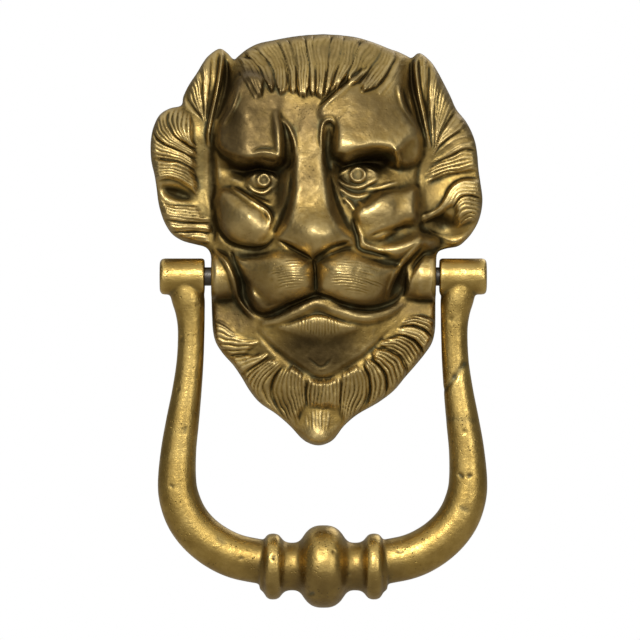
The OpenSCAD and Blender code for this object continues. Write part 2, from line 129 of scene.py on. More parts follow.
# Masses with an edge of their own: edge points, heights on it, how far in the edge rounds,
# slope outside, softness of the join
PLATES = [
    # forehead left of the frown with the fold beside the furrow, and its underside
    ([(-41.6, 51), (-42.4, 45.6), (-40.2, 42.2), (-36.6, 40.2), (-32.8, 38.8), (-29, 38), (-26.6, 38.4),
      (-22.8, 38.8), (-19.4, 38), (-17, 38), (-16.3, 42), (-16.2, 48), (-16.5, 53), (-17.6, 58), (-17, 66),
      (-24, 71), (-31, 72), (-36, 66), (-39, 57)], [(-31, 44, 37.6), (-37.5, 45, 33.2), (-25, 44.6, 36.8),
      (-31, 56, 34), (-30, 67, 29), (-38, 54, 29.4), (-18, 55, 34), (-17.9, 48, 37.4), (-18, 42.4, 38),
      (-19, 65, 30), (-22.8, 49, 35.4), (-24.4, 57, 32.6), (-21.4, 44.6, 36.6)], 1.8, 4, 1.0),
    ([(-28.6, 39), (-25, 40.6), (-21, 41), (-18.4, 40.6), (-16.6, 38.4), (-17.2, 35.6), (-21, 35.6),
      (-25, 36.8)], [(-22, 40.6, 37.6), (-27, 38.6, 35.6), (-22, 36.6, 33.6)], 0.6, 5, 0.3),
    # forehead right of the frown and the facet at the brow's outer end
    ([(4.8, 40.6), (9, 39.6), (14.2, 41.6), (20.4, 42.8), (25.8, 42.4), (29.2, 40.8), (33.8, 45.4),
      (37.6, 48.8), (35, 53), (32.4, 58), (29.6, 63), (24, 68.6), (15, 70), (6, 65), (-1.4, 59.4), (-1.6, 55),
      (0.6, 54.4), (2.2, 54.6), (4.2, 53.4), (5, 50), (4.8, 47)], [(9, 46, 40.8), (20, 46, 38.8),
      (28, 46, 36), (13, 55, 36.6), (24, 58, 33), (10, 63, 33.4), (3, 57, 35), (33, 52, 31.5), (20, 68, 28)],
     2.6, 4, 1.2),
    ([(29.2, 43.4), (33.4, 46.4), (37.6, 48.6), (38.8, 44), (38.2, 38.6), (34.6, 36), (30.4, 37)],
     [(30, 40, 33.4), (35, 45, 31), (37.6, 40, 27.4), (32, 37, 29.4)], 1.2, 2, 1.4),
    # nose
    ([(-8.6, 58), (-11, 47.6), (-11.5, 42), (-11.7, 34), (-12.1, 25), (-13.8, 16), (-16.8, 10), (-18.6, 7),
      (-17.4, 4.4), (-13, 2.8), (-8.6, 0.4), (-4.6, -1.8), (-1, 0.2), (4, 2), (8.4, 4), (11.6, 4.6),
      (11, 7.4), (8.2, 10), (4.4, 15.6), (2.4, 22), (1.2, 31), (-0.4, 42), (-0.8, 48), (-2.6, 58)],
     [(-6, 51, 34), (-6, 58, 31.9), (-10, 46, 35.4), (-2, 46, 35.6), (-10.6, 36, 37), (0, 36, 37.2),
      (-11, 26, 39.2), (-5.2, 26, 39.8), (0.8, 26, 39.4), (-12, 17, 41), (-4.6, 18, 42.2), (2.8, 17, 41.2),
      (-3.2, 9, 48), (-9, 9, 45.4), (3, 9, 45.6), (-3.8, 3, 45.4), (-4.5, -1.4, 40), (-16, 7.6, 39.6),
      (10, 6.6, 40), (-13, 4.6, 40.4), (7, 4.6, 40.6)], 1.9, 1.3, 0.9),
    # cheeks
    ([(-43.6, 22), (-43.4, 16), (-40.8, 10), (-36, 5.4), (-30, 3.4), (-25, 4.2), (-20.6, 7.4), (-18.4, 12),
      (-18.8, 16), (-23, 19.6), (-29.6, 23.4), (-36, 26.4), (-41, 26.2)], [(-29.5, 15, 37.6), (-38, 14, 32.6),
      (-25.4, 9.6, 37), (-36, 22, 31.6), (-23, 15, 35.4), (-32, 6.6, 33.4)], 8.4, 2.2, 2.0),
    ([(12.4, 16), (14.6, 9), (17, 6.4), (24, 6.8), (27.8, 10), (31.8, 12.8), (37, 14.6), (37.6, 21),
      (36.8, 27), (30, 26.6), (23, 25), (17.6, 20.6), (14, 18.8)], [(20, 17, 37), (26, 20.6, 35.6),
      (34.8, 20, 32.6), (17, 11, 35.6), (31, 16, 33), (30, 25, 30.6)], 4.2, 2, 1.6),
    ([(14.6, 6), (18, 2.8), (24, 0.4), (30, -0.2), (35, 3), (39.6, 7.2), (36, 11), (30, 9.6), (24, 5.8),
      (18, 5.6)], [(31, 4, 33.8), (22, 3, 32.4), (37, 8, 29)], 3.2, 2, 1.6),
    # muzzle
    ([(-1.7, -2.6), (2, 0.2), (8, 2), (12.6, 0.6), (17, -1.8), (24, -4), (29, -5), (26.4, -10), (24.4, -15.6),
      (21, -18.6), (14, -19.6), (7, -18.4), (2, -16.4), (-1.6, -13.8), (-2.3, -8)], [(6, -6.4, 45.6),
      (14, -7.4, 43), (20, -10, 39.4), (27, -7, 35.4), (8, 0, 41.4), (9, -14.6, 41.4), (0.4, -8, 43),
      (20, -15.6, 37)], 6.4, 2.2, 1.4),
    ([(-5.2, -2.6), (-9, 0), (-13, 1.6), (-18, 1.6), (-24, 0), (-31, -1), (-36, -1.4), (-32.4, -8),
      (-29, -13), (-25.6, -17), (-21.6, -18.8), (-14, -18.2), (-8, -15.6), (-4.6, -13), (-4, -7)],
     [(-11.6, -6.6, 45.6), (-20, -8, 41.4), (-28, -6, 35), (-34, -3, 30.6), (-13, 0, 41.4),
      (-13, -14.4, 41.2), (-6, -8, 43.4), (-23, -13.6, 37)], 6.4, 2.2, 1.4),
    ([(-29, -13.4), (-24, -17.4), (-15, -19.2), (-19, -21.8), (-23, -22.6), (-27.4, -20)], [(-24, -18, 33),
      (-17, -19.6, 33), (-23, -22, 29.6)], 1.4, 3, 0.6),
    # lower lip and the two facets of the chin
    ([(-18, -28.6), (-9, -25), (-2, -23.4), (5, -25.2), (14, -28.4), (9, -32.4), (-1, -34.6), (-12, -32.4)],
     [(-2, -26, 34.2), (-2, -32.6, 31.4), (-12, -28.8, 31), (9, -28.8, 31.2)], 4, 0.8, 2),
    # curl at the tip of the beard
    ([(-9.8, -68), (-8.6, -63.6), (-5, -60.8), (-1.9, -60.2), (1.2, -60.8), (4.8, -63.6), (6.2, -68),
      (5, -72.4), (2, -75.4), (-1.9, -76.4), (-5.8, -75.4), (-8.8, -72.4)], [(-1.9, -65, 23),
      (-1.9, -71, 23.6), (-7, -68, 20.6), (3.2, -68, 20.6)], 4.4, 2, 2),
]

# Soft swellings and hollows: x, z, half-width, half-height, turn, height, squareness
SWELLS = [
    (-27.5, 34, 11, 3.2, -3, -5, 1.6), (18, 38, 13, 4, -2, -4.4, 1.6), (-37.5, 70, 4.4, 11, 6, -4, 1),
    (33.6, 69, 3.2, 10, -4, -4, 1),
    (-58.6, 25, 6.4, 2.2, -18, -3, 2), (47.6, 13.4, 4.8, 3, -16, -2.6, 1.5), (-28, 1, 6, 2.6, 0, -1.6, 1),
    (26, 8.4, 6, 1.8, 20, -1.4, 1),
    (-59, 50, 9, 8, 0, 3.5, 1), (-59, 34, 9, 8, 0, 3.5, 1), (-57, 14, 9, 7, 0, 3.5, 1),
    (54, 48, 9, 10, 0, 3.5, 1), (54, 21, 9, 11, 0, 4, 1),
    (-50, 66, 6, 12, -14, 2.5, 1), (46, 64, 6, 12, 14, 2.5, 1), (-14, 44, 3.4, 10, 4, 1.8, 1.2),
    (2, 46, 2.6, 8, 0, 1.4, 1), (-31, 27.6, 6, 3, -20, 1.2, 1), (25, 28.6, 6, 2.4, 0, 1.4, 1),
]

# Lines over the face: points, half-widths, height (sunk when negative)
LINES = [
    # furrows of the frown with their raised rims
    ([(-16.3, 53.4), (-14.6, 48), (-13.4, 42), (-13.8, 37), (-14.6, 33.6)], (0.6, 1.9, 2.5, 2.2, 1), -1.1),
    ([(-16.6, 54.4), (-13.6, 50.6), (-11.6, 45.6), (-11.2, 40)], (0.8, 1.2, 1.2, 0.8), 1.53),
    ([(-19.4, 58), (-18.4, 51), (-18, 45), (-17.4, 38)], (2, 2.6, 2.4, 1.4), 1.3),
    ([(2.2, 52.4), (1.8, 47), (1.4, 41.6), (2.2, 36), (3.2, 33)], (1.4, 2, 1.9, 1.8, 1), -1.5),
    ([(4.6, 52), (2.6, 54), (-0.2, 52.4), (-1, 47), (-0.6, 40)], (0.8, 1, 1.1, 1, 0.8), 1.7),
    # the edge of the right brow under the fringe, and of the left brow by the ear
    ([(19, 75), (8, 66.4), (-1.2, 58)], (1, 1.4, 1), 1.19),
    ([(17.6, 76), (6.6, 67.6), (-2.6, 59)], (1, 1.3, 1), -1.28),
    ([(-33.4, 67), (-36.4, 59), (-41.6, 51)], (1, 1.6, 1), 1.87), ([(30, 68), (32, 60), (37.6, 50.6)],
     (1, 1.6, 1), 1.87),
    ([(28.4, 43), (29.6, 38.6), (30, 34.6)], (1.4, 1.8, 1), 1.8),
    # the lens-shaped shelf at the inner end of the left brow
    ([(-29, 39.8), (-25, 40.9), (-20.6, 40.6), (-16.8, 38.6)], (0.4, 0.8, 0.8, 0.5), 1.2), ([(-28.6, 41.4),
      (-24.6, 42.6), (-19.4, 42.4)], (0.5, 1, 0.5), -0.8),
    ([(-28.6, 38.6), (-24, 37.2), (-19.6, 36.4), (-17, 38)], (0.4, 0.8, 0.8, 0.5), 1),
    # lids and the wrinkles under the eyes
    ([(-31, 28.6), (-28, 25.9), (-23.8, 25), (-19.4, 27.8)], (0.6, 1, 1, 0.6), 1.44),
    ([(-30.6, 30.2), (-26.6, 33), (-21.4, 32.6), (-18.6, 29.6)], (0.6, 1, 1, 0.6), 1.27),
    ([(5.8, 30.4), (9.4, 27.9), (15, 27.2), (22.8, 31)], (0.6, 1.1, 1.1, 0.6), 1.53),
    ([(6.2, 31.6), (10.6, 35.2), (17, 35.4), (22.6, 32.2)], (0.6, 1, 1, 0.6), 1.27),
    ([(-37, 27.4), (-29.6, 22.8), (-22.6, 17.6), (-20.4, 13)], (0.8, 1.5, 1.4, 0.8), 1.87),
    ([(-32, 27), (-26, 22.4), (-20.4, 20)], (0.6, 0.9, 0.6), 1.1), ([(-24, 20), (-21.4, 15), (-22, 10)],
     (0.6, 1, 0.6), 0.85),
    ([(5.6, 28), (9.6, 24.6), (14, 23.4), (18.6, 25)], (0.8, 1.5, 1.3, 0.7), 1.2), ([(16, 26.2), (23, 27.4),
      (30.6, 29.4)], (0.6, 1.2, 0.6), 0.9),
    ([(7.4, 23.4), (10.6, 20.6), (12, 17.8)], (0.6, 1.5, 0.8), 1.2), ([(13.6, 21.6), (15.4, 20), (16, 18)],
     (0.5, 1, 0.5), 0.9), ([(6.6, 25.8), (8, 22.6), (8.4, 20)], (0.4, 0.8, 0.4), -0.7),
    # the sides of the nose and the line under it
    ([(-12.8, 34), (-13.4, 25), (-16.6, 15), (-20, 8.6)], (1, 2.2, 2.4, 1.4), -1.3),
    ([(2.6, 33), (4.6, 24), (8.2, 14.6), (12.4, 8)], (1, 2, 2.2, 1.4), -1.2),
    ([(-19, 6.6), (-13, 3.4), (-8, 0.6), (-4.4, -1.6)], (0.8, 1.5, 1.5, 0.8), -2.11),
    ([(-4.4, -1.6), (0, 1.2), (4, 3.4), (11.4, 5.6)], (0.8, 1.3, 1.3, 0.8), -1.86),
    # folds round the cheeks
    ([(-42.6, 24), (-42.4, 13), (-38, 5.6), (-30, 3), (-23.6, 3.4), (-19.4, 7)],
     (1.2, 1.8, 1.8, 1.6, 1.4, 0.8), -1.5),
    ([(11, 14.6), (13, 7.6), (14.4, 2.6), (20, 0.8), (27, -0.6)], (0.8, 1.3, 1.4, 1.4, 0.8), -1.61),
    ([(12.6, 14), (15, 8), (16.6, 4.4), (22, 2.8)], (0.6, 0.9, 0.9, 0.6), 1.02),
    ([(18, 7.4), (24, 9.6), (33, 11.4)], (0.8, 1.6, 0.8), -0.9),
    ([(40, 6), (34.6, 0.4), (30.4, -4.6), (27, -11.6), (25.4, -17)], (0.8, 1.7, 1.8, 1.6, 0.8), 2.55),
    ([(41, 1.6), (36.4, -4), (33.4, -10), (31.6, -17)], (0.8, 1.8, 1.8, 1), -1.61),
    ([(-44, 2.4), (-38.8, -2.6), (-35.6, -10), (-33.6, -18), (-27.4, -25.6)], (0.8, 1.9, 2, 1.8, 1), 2.72),
    ([(-37, 2), (-35, -3), (-33, -9), (-30.6, -17), (-26.6, -22.4)], (0.8, 1.2, 1.4, 2, 1), -1.74),
    # groove of the muzzle, the mouth and the lip over the chin
    ([(-4, -1.6), (-3.4, -8), (-2.8, -15.6)], (0.6, 1.0, 1.4), -1.3),
    ([(-29, -21.6), (-23, -23.8), (-13.6, -19.8), (-4, -16), (1.6, -16.4), (10, -19.6), (19, -21),
      (28, -18.4), (32, -14)], (1, 2.2, 2.1, 1.7, 1.7, 2, 2.1, 1.8, 0.8), -2.5),
    ([(-25, -27.6), (-17, -25.4), (-10.6, -22.6), (-5, -20), (-0.8, -19.8), (7.2, -22.8), (16, -25),
      (24.8, -23.4), (33.4, -18.4)], (1.2, 2.4, 3, 3.2, 3.2, 3.1, 3, 2.6, 1.2), 1.9),
    ([(-16, -28), (-8, -25), (-2, -23.4), (5, -25.4), (12, -28)], (0.6, 0.9, 1, 0.9, 0.6), -0.8),
    ([(-6.4, -40.6), (-1, -44.6), (3.4, -40.8)], (0.4, 0.6, 0.4), -0.72),
    ([(-27, -29.6), (-20, -37), (-11, -44), (-0.6, -49.4), (9.4, -44.6), (18, -38.6), (27, -29)],
     (1, 2, 2.4, 2.2, 2.4, 2, 1), -1.0),
    # the step between face and mane
    ([(-45, 46), (-44.4, 36), (-44.2, 24), (-43.4, 12), (-44, 5)], (1.4, 2.6, 2.8, 2.6, 1.2), -1.5),
    ([(38.4, 38), (37.6, 28), (38, 16), (40.6, 8)], (1.2, 2.4, 2.6, 1.4), -0.7),
    # rims of the ears and the troughs inside them
    ([(-41.2, 82.4), (-40.8, 78.6), (-41.8, 70), (-43.4, 62), (-45, 54.4), (-46, 48), (-45.6, 43)],
     (0.8, 1.1, 1.1, 1, 1, 0.9, 0.6), 3.57),
    ([(-38.8, 79), (-38.6, 70), (-40, 62), (-42.8, 54)], (0.8, 2, 2, 1), -2.11),
    ([(38.4, 80.8), (37, 76), (38, 66), (40, 56), (42.6, 42)], (0.8, 1.1, 1.1, 1, 0.6), 3.57),
    ([(35, 77.6), (35.4, 68), (37.6, 57), (40.4, 47)], (0.8, 1.7, 1.7, 1), -2.11),
]

# Eyeballs: x, z, half-width, half-height, turn, height
EYEBALLS = [(-24.2, 29.6, 6.6, 4, 0, 29.2), (14.4, 31.4, 8.2, 4.4, 0, 30)]

# Irises: x, z, radius
IRISES = [(-23.8, 30, 2.4), (13.7, 32.2, 2.9)]

# Hair: edge of the patch, guides (strand number, points), strand numbers where locks part,
# strands per number, crown, depth, rise
HAIR = [
    # left ear
    ([(-42, 84.6), (-47, 82), (-51.6, 75), (-55.4, 68), (-58.4, 60.6), (-56, 58.8), (-52, 56), (-48.2, 53),
      (-46.6, 49.6), (-45.8, 52), (-44.2, 60), (-42.8, 68), (-41.8, 76)], [(0, [(-41.2, 84), (-42, 75),
        (-43, 67), (-44.2, 60), (-46, 50)]), (1.5, [(-43.6, 84), (-43.8, 76), (-44.3, 68), (-45, 61),
        (-46.4, 52)]), (3.2, [(-46.4, 82), (-45.8, 74), (-46.2, 66), (-46.6, 60), (-46.9, 53)]), (5.2,
       [(-49.6, 79), (-48, 72), (-47.8, 66), (-47.6, 60), (-47.4, 54)]), (7.4, [(-52.6, 74), (-50.8, 68),
        (-49.8, 63), (-48.8, 58), (-47.9, 54)]), (9.2, [(-55.4, 69), (-53.2, 64), (-51.4, 60), (-49.8, 57),
        (-48.2, 54)]), (11, [(-58.4, 62), (-55.4, 59.6), (-52.4, 57.4), (-50, 55.6), (-48.4, 53.6)])],
     (2.3, 5.9, 9.8), 1.1, 1.1, 0.8, 0.4),
    # left side of the mane, upper half
    ([(-60, 60.4), (-66.6, 58.4), (-70, 52), (-70.8, 42), (-69.8, 35), (-68.2, 29.4), (-65, 28.4),
      (-60.4, 28.6), (-56, 26), (-51.4, 22.6), (-49.2, 23), (-49.2, 30), (-49.8, 38), (-50.2, 46),
      (-50.4, 52), (-53, 56.4), (-57, 59.4)], [(0, [(-51.2, 56), (-51.6, 50), (-50.8, 44)]), (1.5,
       [(-53.6, 57.4), (-54.2, 51), (-53, 44.8)]), (3.2, [(-56.6, 59.4), (-57.4, 52.4), (-55.2, 46)]), (5,
       [(-60, 60.4), (-60.8, 53.4), (-58, 47.6), (-54, 44.2)]), (6.6, [(-64, 60), (-64, 53), (-60.8, 47.4),
        (-56, 44.2), (-51.2, 41.8)]), (8.6, [(-68.4, 56.4), (-66.6, 49.6), (-62.6, 45.4), (-57, 42.6),
        (-51.2, 39.2)]), (10.4, [(-70.4, 50), (-67, 44.9), (-61, 42), (-56, 40.2), (-50.8, 37)]), (12,
       [(-71, 43.4), (-65, 40.9), (-58, 38.8), (-50.8, 35.2)]), (13.4, [(-70.4, 38.4), (-63, 37.9),
        (-57, 36.9), (-50.8, 33.4)]), (14.8, [(-69.6, 35), (-62, 35.4), (-56, 33.8), (-50, 29.9)]), (16.6,
       [(-68.8, 31.8), (-62, 33.2), (-56, 31.3), (-49.6, 26.8)]), (18.4, [(-68, 30), (-61, 31), (-55, 28.4),
        (-49.4, 24.2)]), (20, [(-66, 28.2), (-61, 29), (-56, 26.5), (-51, 22.8)])], (5.6, 9.6, 13.2, 20.4),
     1.05, 1.7, 1.05, 0.3),
    # left side of the mane, lower half
    ([(-67.4, 28.6), (-66.6, 20), (-64.8, 13), (-61.6, 7.8), (-56.6, 4.8), (-51, 3.8), (-45.4, 3.6), (-44, 8),
      (-44.2, 14), (-47.4, 17.4), (-49.4, 21.6), (-56, 22.6), (-61, 22.8), (-64.4, 25), (-65.4, 28.4)], [(0,
       [(-66, 29), (-64.2, 23.2), (-58, 21.7), (-49.4, 21.9)]), (1.4, [(-66.8, 25), (-63.2, 20.4),
        (-57, 19.7), (-49, 19.6)]), (2.8, [(-66.8, 21), (-61, 18.1), (-55, 17.4), (-48, 17.2)]), (4.4,
       [(-66.2, 17.6), (-58.6, 15.7), (-52, 14.9), (-44.4, 14.6)]), (6, [(-65.4, 14.6), (-58, 13),
        (-52, 12.6), (-44, 12.8)]), (7.4, [(-64.2, 11.8), (-57.6, 10.8), (-51, 10.9), (-44, 10.2)]), (9,
       [(-62.2, 8.8), (-56, 8.8), (-50, 8.9), (-44, 8.4)]), (10.6, [(-59, 5.6), (-53, 6.2), (-48, 6.2),
        (-44, 5.8)])], (0.9, 5.8, 8.7), 1.05, 1.2, 0.85, 0.4),
    # crown and fringe
    ([(-35, 79), (-32, 83.4), (-26, 86.6), (-16, 88.4), (-7, 90.6), (3, 90.6), (14, 89.2), (24, 86),
      (31, 82.8), (35, 80.8), (33, 77), (30.4, 72), (26.4, 66), (22.6, 62.4), (18, 63.6), (13.4, 66.6),
      (8.6, 67.8), (5, 65), (1.6, 62.6), (-1.6, 61.4), (-4.8, 62), (-9.6, 62.6), (-12.8, 63.6), (-18.8, 64.2),
      (-22.6, 65), (-26.4, 61.4), (-29.6, 65.6), (-33, 72)], [(0, [(-35, 78), (-32.8, 73.6), (-29.6, 68),
        (-26, 61)]), (2, [(-34.4, 80.4), (-29, 76.8), (-26.2, 71.4), (-23.6, 64)]), (4, [(-32, 83.4),
        (-26.4, 79), (-22.8, 74.6), (-21, 69), (-20.8, 63.6)]), (5.6, [(-28, 86), (-22, 80), (-18.8, 74.6),
        (-18.4, 69), (-18.6, 63)]), (7.2, [(-23.4, 87.6), (-18.6, 81), (-16.4, 75), (-15.8, 69),
        (-15.8, 62.6)]), (9, [(-18, 89), (-14.6, 82), (-12.8, 75), (-12.4, 69), (-12.4, 62)]), (11,
       [(-13.6, 90), (-11.2, 83), (-9.8, 76), (-9.8, 70), (-9.6, 61.6)]), (12.8, [(-9, 91), (-8.4, 83),
        (-6.8, 76), (-7.2, 70), (-7, 61.6)]), (14.6, [(-5, 91), (-5.6, 83), (-4.8, 76), (-4.2, 70),
        (-4.4, 61)]), (16, [(-1, 91), (-2.6, 83.6), (-2, 76), (-2.2, 69), (-2.4, 60.4)]), (17.4, [(2.4, 91),
        (0.8, 83.4), (0.6, 76), (0, 69.6), (-0.8, 60.6)]), (19.2, [(6.4, 91), (4.6, 83), (3.6, 76.4), (2, 70),
        (0.8, 62)]), (21, [(10.4, 90), (8.4, 82.6), (7, 76), (4.8, 70), (3, 64)]), (22.8, [(14.6, 89),
        (12, 81.6), (10.2, 75.6), (7.6, 70.6), (5, 65.6)]), (24.4, [(18.4, 88), (15.6, 80.6), (13.2, 75),
        (10.6, 71), (8, 67)]), (26, [(22.6, 86.6), (19.4, 79.6), (16.4, 74.6), (13.6, 70.6), (10.4, 66)]),
      (27.8, [(26.6, 85), (22.8, 78), (19.8, 73.4), (16.4, 69), (12.8, 65)]), (29.6, [(30, 83.6),
        (25.6, 76.8), (23, 72.2), (19.6, 68), (15.8, 63.8)]), (31.4, [(33, 82), (28.6, 75.8), (26, 71),
        (22.8, 66.4), (18.8, 62)]), (33, [(35.6, 80.4), (30.6, 74.6), (28, 69.6), (25, 65), (21.4, 61)])],
     (2.9, 5, 8.2, 10.1, 13.7, 15.2, 18.2, 20.4, 23.4, 26.9, 30.6), 1.3, 1.3, 0.9, 0.9),
    # right ear
    ([(37, 81.6), (39.6, 83), (44.2, 79), (47.4, 74), (50.4, 67.6), (53.2, 61), (56, 56.6), (60, 50.6),
      (61.8, 47), (54, 45.8), (50, 43.4), (46, 40.4), (43.4, 39.4), (42, 44), (40.4, 52), (39, 62), (38, 72)],
     [(0, [(38.2, 83), (38.8, 72), (39.6, 62), (41, 52), (42.6, 43)]), (1.5, [(41, 82), (41, 71), (41.2, 61),
        (42.4, 50), (43.2, 43)]), (3, [(44.2, 79), (43.2, 70), (42.5, 62), (43, 51), (43.6, 43)]), (4.6,
       [(46.8, 75), (44.8, 66), (43.8, 58), (44, 50), (44, 43.4)]), (6.2, [(49.4, 71), (46.8, 63), (45.2, 56),
        (44.8, 49), (44.4, 43.6)]), (7.8, [(51.8, 66), (48.8, 60), (46.6, 54), (45.4, 48), (44.6, 43.4)]),
      (9.2, [(54, 61.4), (49.8, 56), (47.2, 51), (45.8, 47), (44.8, 43)]), (10.6, [(56.6, 58), (51.6, 53.6),
        (48.4, 49.6), (46.2, 46), (44.8, 42.6)]), (12, [(59.6, 54), (53.8, 50.8), (49.6, 47.4), (46.6, 44.4),
        (44.6, 41.6)]), (13.4, [(62, 49), (54.8, 47.9), (50, 45.2), (47, 42.6), (44.4, 40.2)])],
     (2.2, 5.4, 9.9, 12.8), 1.2, 1.0, 0.8, 0.3),
    # right side of the mane, upper half
    ([(61.8, 47.6), (54.6, 45.8), (50, 43.4), (46.4, 40.6), (43.4, 38.8), (41, 34), (39.8, 28.4), (42, 27),
      (48, 29.6), (54, 31.2), (62, 32.4), (64.6, 33.4), (63.4, 42)], [(0, [(62.6, 48), (54.6, 46.4),
        (50.6, 43.8), (47, 41), (43.6, 38.8)]), (2.2, [(63.4, 43.6), (56, 43), (51.4, 41), (47.6, 39),
        (43, 36.8)]), (3.6, [(64, 40.4), (56, 39.6), (51, 38.3), (47, 36.8), (42.6, 34.9)]), (5,
       [(64.4, 38.2), (56.4, 36.9), (51.4, 35.8), (47, 34.5), (42, 32.6)]), (6.4, [(64.6, 36), (57, 34.6),
        (52, 33.6), (47.4, 32.4), (41.4, 30.2)]), (7.8, [(64.8, 33.8), (57.4, 32.4), (52.4, 31.4), (47.6, 30),
        (41, 27.6)])], (2.8, 7.9), 1.15, 1.2, 0.8, 0.5),
    # right side of the mane, the lock that turns over
    ([(39, 11.6), (42.4, 12.4), (47.4, 14.2), (51, 17.4), (51.6, 13), (52.6, 9.8), (57, 10.6), (61, 12.4),
      (63.8, 15), (65.2, 22), (64.4, 31), (57, 32.2), (52, 30.4), (48.4, 27), (46, 22), (42.6, 18.6),
      (39, 16.8)], [(0, [(38.8, 17), (44.2, 19.6), (47.8, 24.2), (51, 29.2), (56, 31.6), (64.6, 30.6)]),
      (1.6, [(38.8, 15), (45.4, 18), (49, 22.8), (52, 27.4), (56.4, 29.6), (65, 28)]), (3, [(38.8, 13.4),
        (46, 16.5), (50.2, 21.5), (53.2, 25.8), (57, 27.3), (65.4, 25.6)]), (4.4, [(39.6, 12), (46.8, 14.9),
        (51.4, 19.6), (54.4, 24), (58, 25), (65.6, 23.4)]), (5.8, [(51.4, 17), (54.4, 21.4), (58.4, 22.7),
        (65.6, 21)]), (7.2, [(51.6, 14.8), (55, 19), (59, 20.2), (65.2, 18.4)]), (8.6, [(51.8, 12.6),
        (55.4, 16.4), (59.2, 17.6), (64.4, 15.6)]), (10, [(52, 10.6), (55.6, 13.8), (59.2, 15), (63, 13)])],
     (4.9,), 1.0, 1.4, 0.95, 0.6),
    # right side of the mane, under it
    ([(40.4, 12.4), (45, 9.9), (51, 8.6), (56, 9.8), (60, 12.4), (63, 12), (60, 7.4), (55.6, 3.6), (51, 3),
      (46, 6.6), (42, 8.6)], [(0, [(41, 12), (46.2, 9.8), (52, 9), (57, 10.8), (63, 13.6)]), (1.6,
       [(42, 9.8), (47, 7.4), (52.6, 6.4), (57.6, 7.8), (62, 11)]), (3.2, [(43, 8), (48, 5), (53, 4),
        (57.8, 5.2), (61, 8)])], (), 0.9, 0.8, 0.45, 0.3),
     # beard, round from the left
     ([(-46, -24.6), (-41, -24.4), (-36.4, -27), (-33, -31), (-26, -33.2), (-25.6, -35.6), (-27.6, -38),
       (-22.6, -38.6), (-18.8, -40.4), (-15.6, -43.2), (-9.6, -44), (-5.6, -47), (-1, -48.6), (3, -47.4),
       (6.6, -45.4), (11, -43.6), (15.6, -41.8), (18.6, -39.4), (20.4, -36.2), (24, -32.6), (28.4, -29.6),
       (30.4, -26), (34, -23.4), (40, -22.6), (46, -25.6), (46, -32), (43, -39), (38, -45.6), (34, -51),
       (28, -56.4), (20, -61.6), (13, -66), (7.6, -69.6), (5, -64), (-2, -61.6), (-8.6, -64), (-11, -70),
       (-16, -67.6), (-24, -62), (-30, -56.6), (-34, -51), (-38.4, -44), (-43, -38.4), (-45.6, -33)], [(0,
        [(-46, -26), (-41.6, -26.8), (-38, -29), (-34.6, -31)]), (1.4, [(-46, -28.6), (-41, -30),
         (-37, -31.9), (-31, -32.6)]), (2.8, [(-45.6, -31.6), (-40.6, -33.2), (-36, -34.2), (-27, -34.2)]),
       (4.2, [(-44.4, -35), (-39, -36.6), (-34, -37.2), (-28, -36.4)]), (5.4, [(-42.6, -38.4), (-37.6, -39.2),
         (-33, -39.2), (-27.6, -37.8)]), (6.8, [(-39.4, -42.6), (-33.4, -42.2), (-28.6, -40.8),
         (-24.6, -38.6)]), (8.2, [(-36.4, -46.6), (-31, -45), (-27, -42.8), (-22.6, -40)]), (9.6,
        [(-33, -51.6), (-29.8, -48), (-25.8, -44.6), (-20.4, -40.6)]), (11, [(-28.6, -57.6), (-29, -52.6),
         (-26.6, -48.6), (-23.6, -45), (-18.8, -41.6)]), (12.4, [(-22, -61.6), (-26, -56.4), (-25.8, -51),
         (-22.6, -46.4), (-17.8, -42.8)]), (13.8, [(-17, -65), (-20.8, -58.6), (-22.2, -53), (-20.6, -48),
         (-16.6, -44)]), (15.2, [(-15.2, -44.4), (-18, -49), (-19, -54), (-17.4, -59), (-13.4, -66)]), (16.6,
        [(-13.6, -44.6), (-15.6, -49.6), (-16, -55), (-13.9, -60.4), (-11, -68)]), (18, [(-11.9, -44.8),
         (-13.2, -50), (-13.2, -55), (-11.8, -60), (-9.4, -67)]), (19.4, [(-10.1, -44.8), (-11, -50),
         (-10.8, -55), (-9.8, -60), (-8.4, -65)]), (20.8, [(-8.2, -45.2), (-8.6, -50), (-8.6, -55), (-8, -60),
         (-7.2, -64)]), (22.2, [(-6, -46.6), (-6.1, -51), (-6.3, -56), (-6, -63)]), (23.8, [(-3.7, -48.4),
         (-3.6, -53), (-4, -58), (-4.2, -63)]), (25.2, [(-1.4, -49), (-1.6, -54), (-1.8, -58), (-2, -63)]),
       (26.6, [(1, -49), (0.8, -54), (0.4, -58), (0, -63)]), (28, [(3.4, -48.2), (3.2, -53), (2.8, -58),
         (2, -63)]), (29.4, [(5.4, -47), (5.6, -53), (5.4, -58), (4.8, -65)]), (30.8, [(7.5, -45.6),
         (7.8, -51), (7.6, -56), (7, -61), (6.2, -68)]), (32.2, [(9.4, -44.8), (10.2, -50), (10, -55),
         (8.8, -60), (7.4, -68)]), (33.6, [(11.3, -44.4), (12.5, -49.6), (12.4, -55), (10.8, -60),
         (8.8, -67)]), (35, [(13.2, -44), (15, -49.4), (15, -55), (13, -60), (10.6, -66)]), (36.4,
        [(15, -43.4), (17.4, -49), (17.6, -54.6), (15.8, -60), (13, -65.4)]), (38, [(16.8, -42.6), (20, -48),
         (20.6, -54), (19, -60.4)]), (39.4, [(18.2, -41.6), (22.4, -46.6), (23.8, -53), (22.4, -60)]), (40.8,
        [(19.4, -40.4), (24.8, -44.4), (27, -50), (26.4, -57.6)]), (42.2, [(20.6, -38.8), (27, -42.2),
         (29.8, -47.6), (30, -55)]), (43.6, [(21.6, -37.2), (28.6, -39.9), (32.2, -45), (33, -52)]), (45,
        [(22.8, -35.6), (29.8, -37.4), (34, -42), (35.4, -49)]), (46.4, [(24.2, -34.2), (31.2, -35.2),
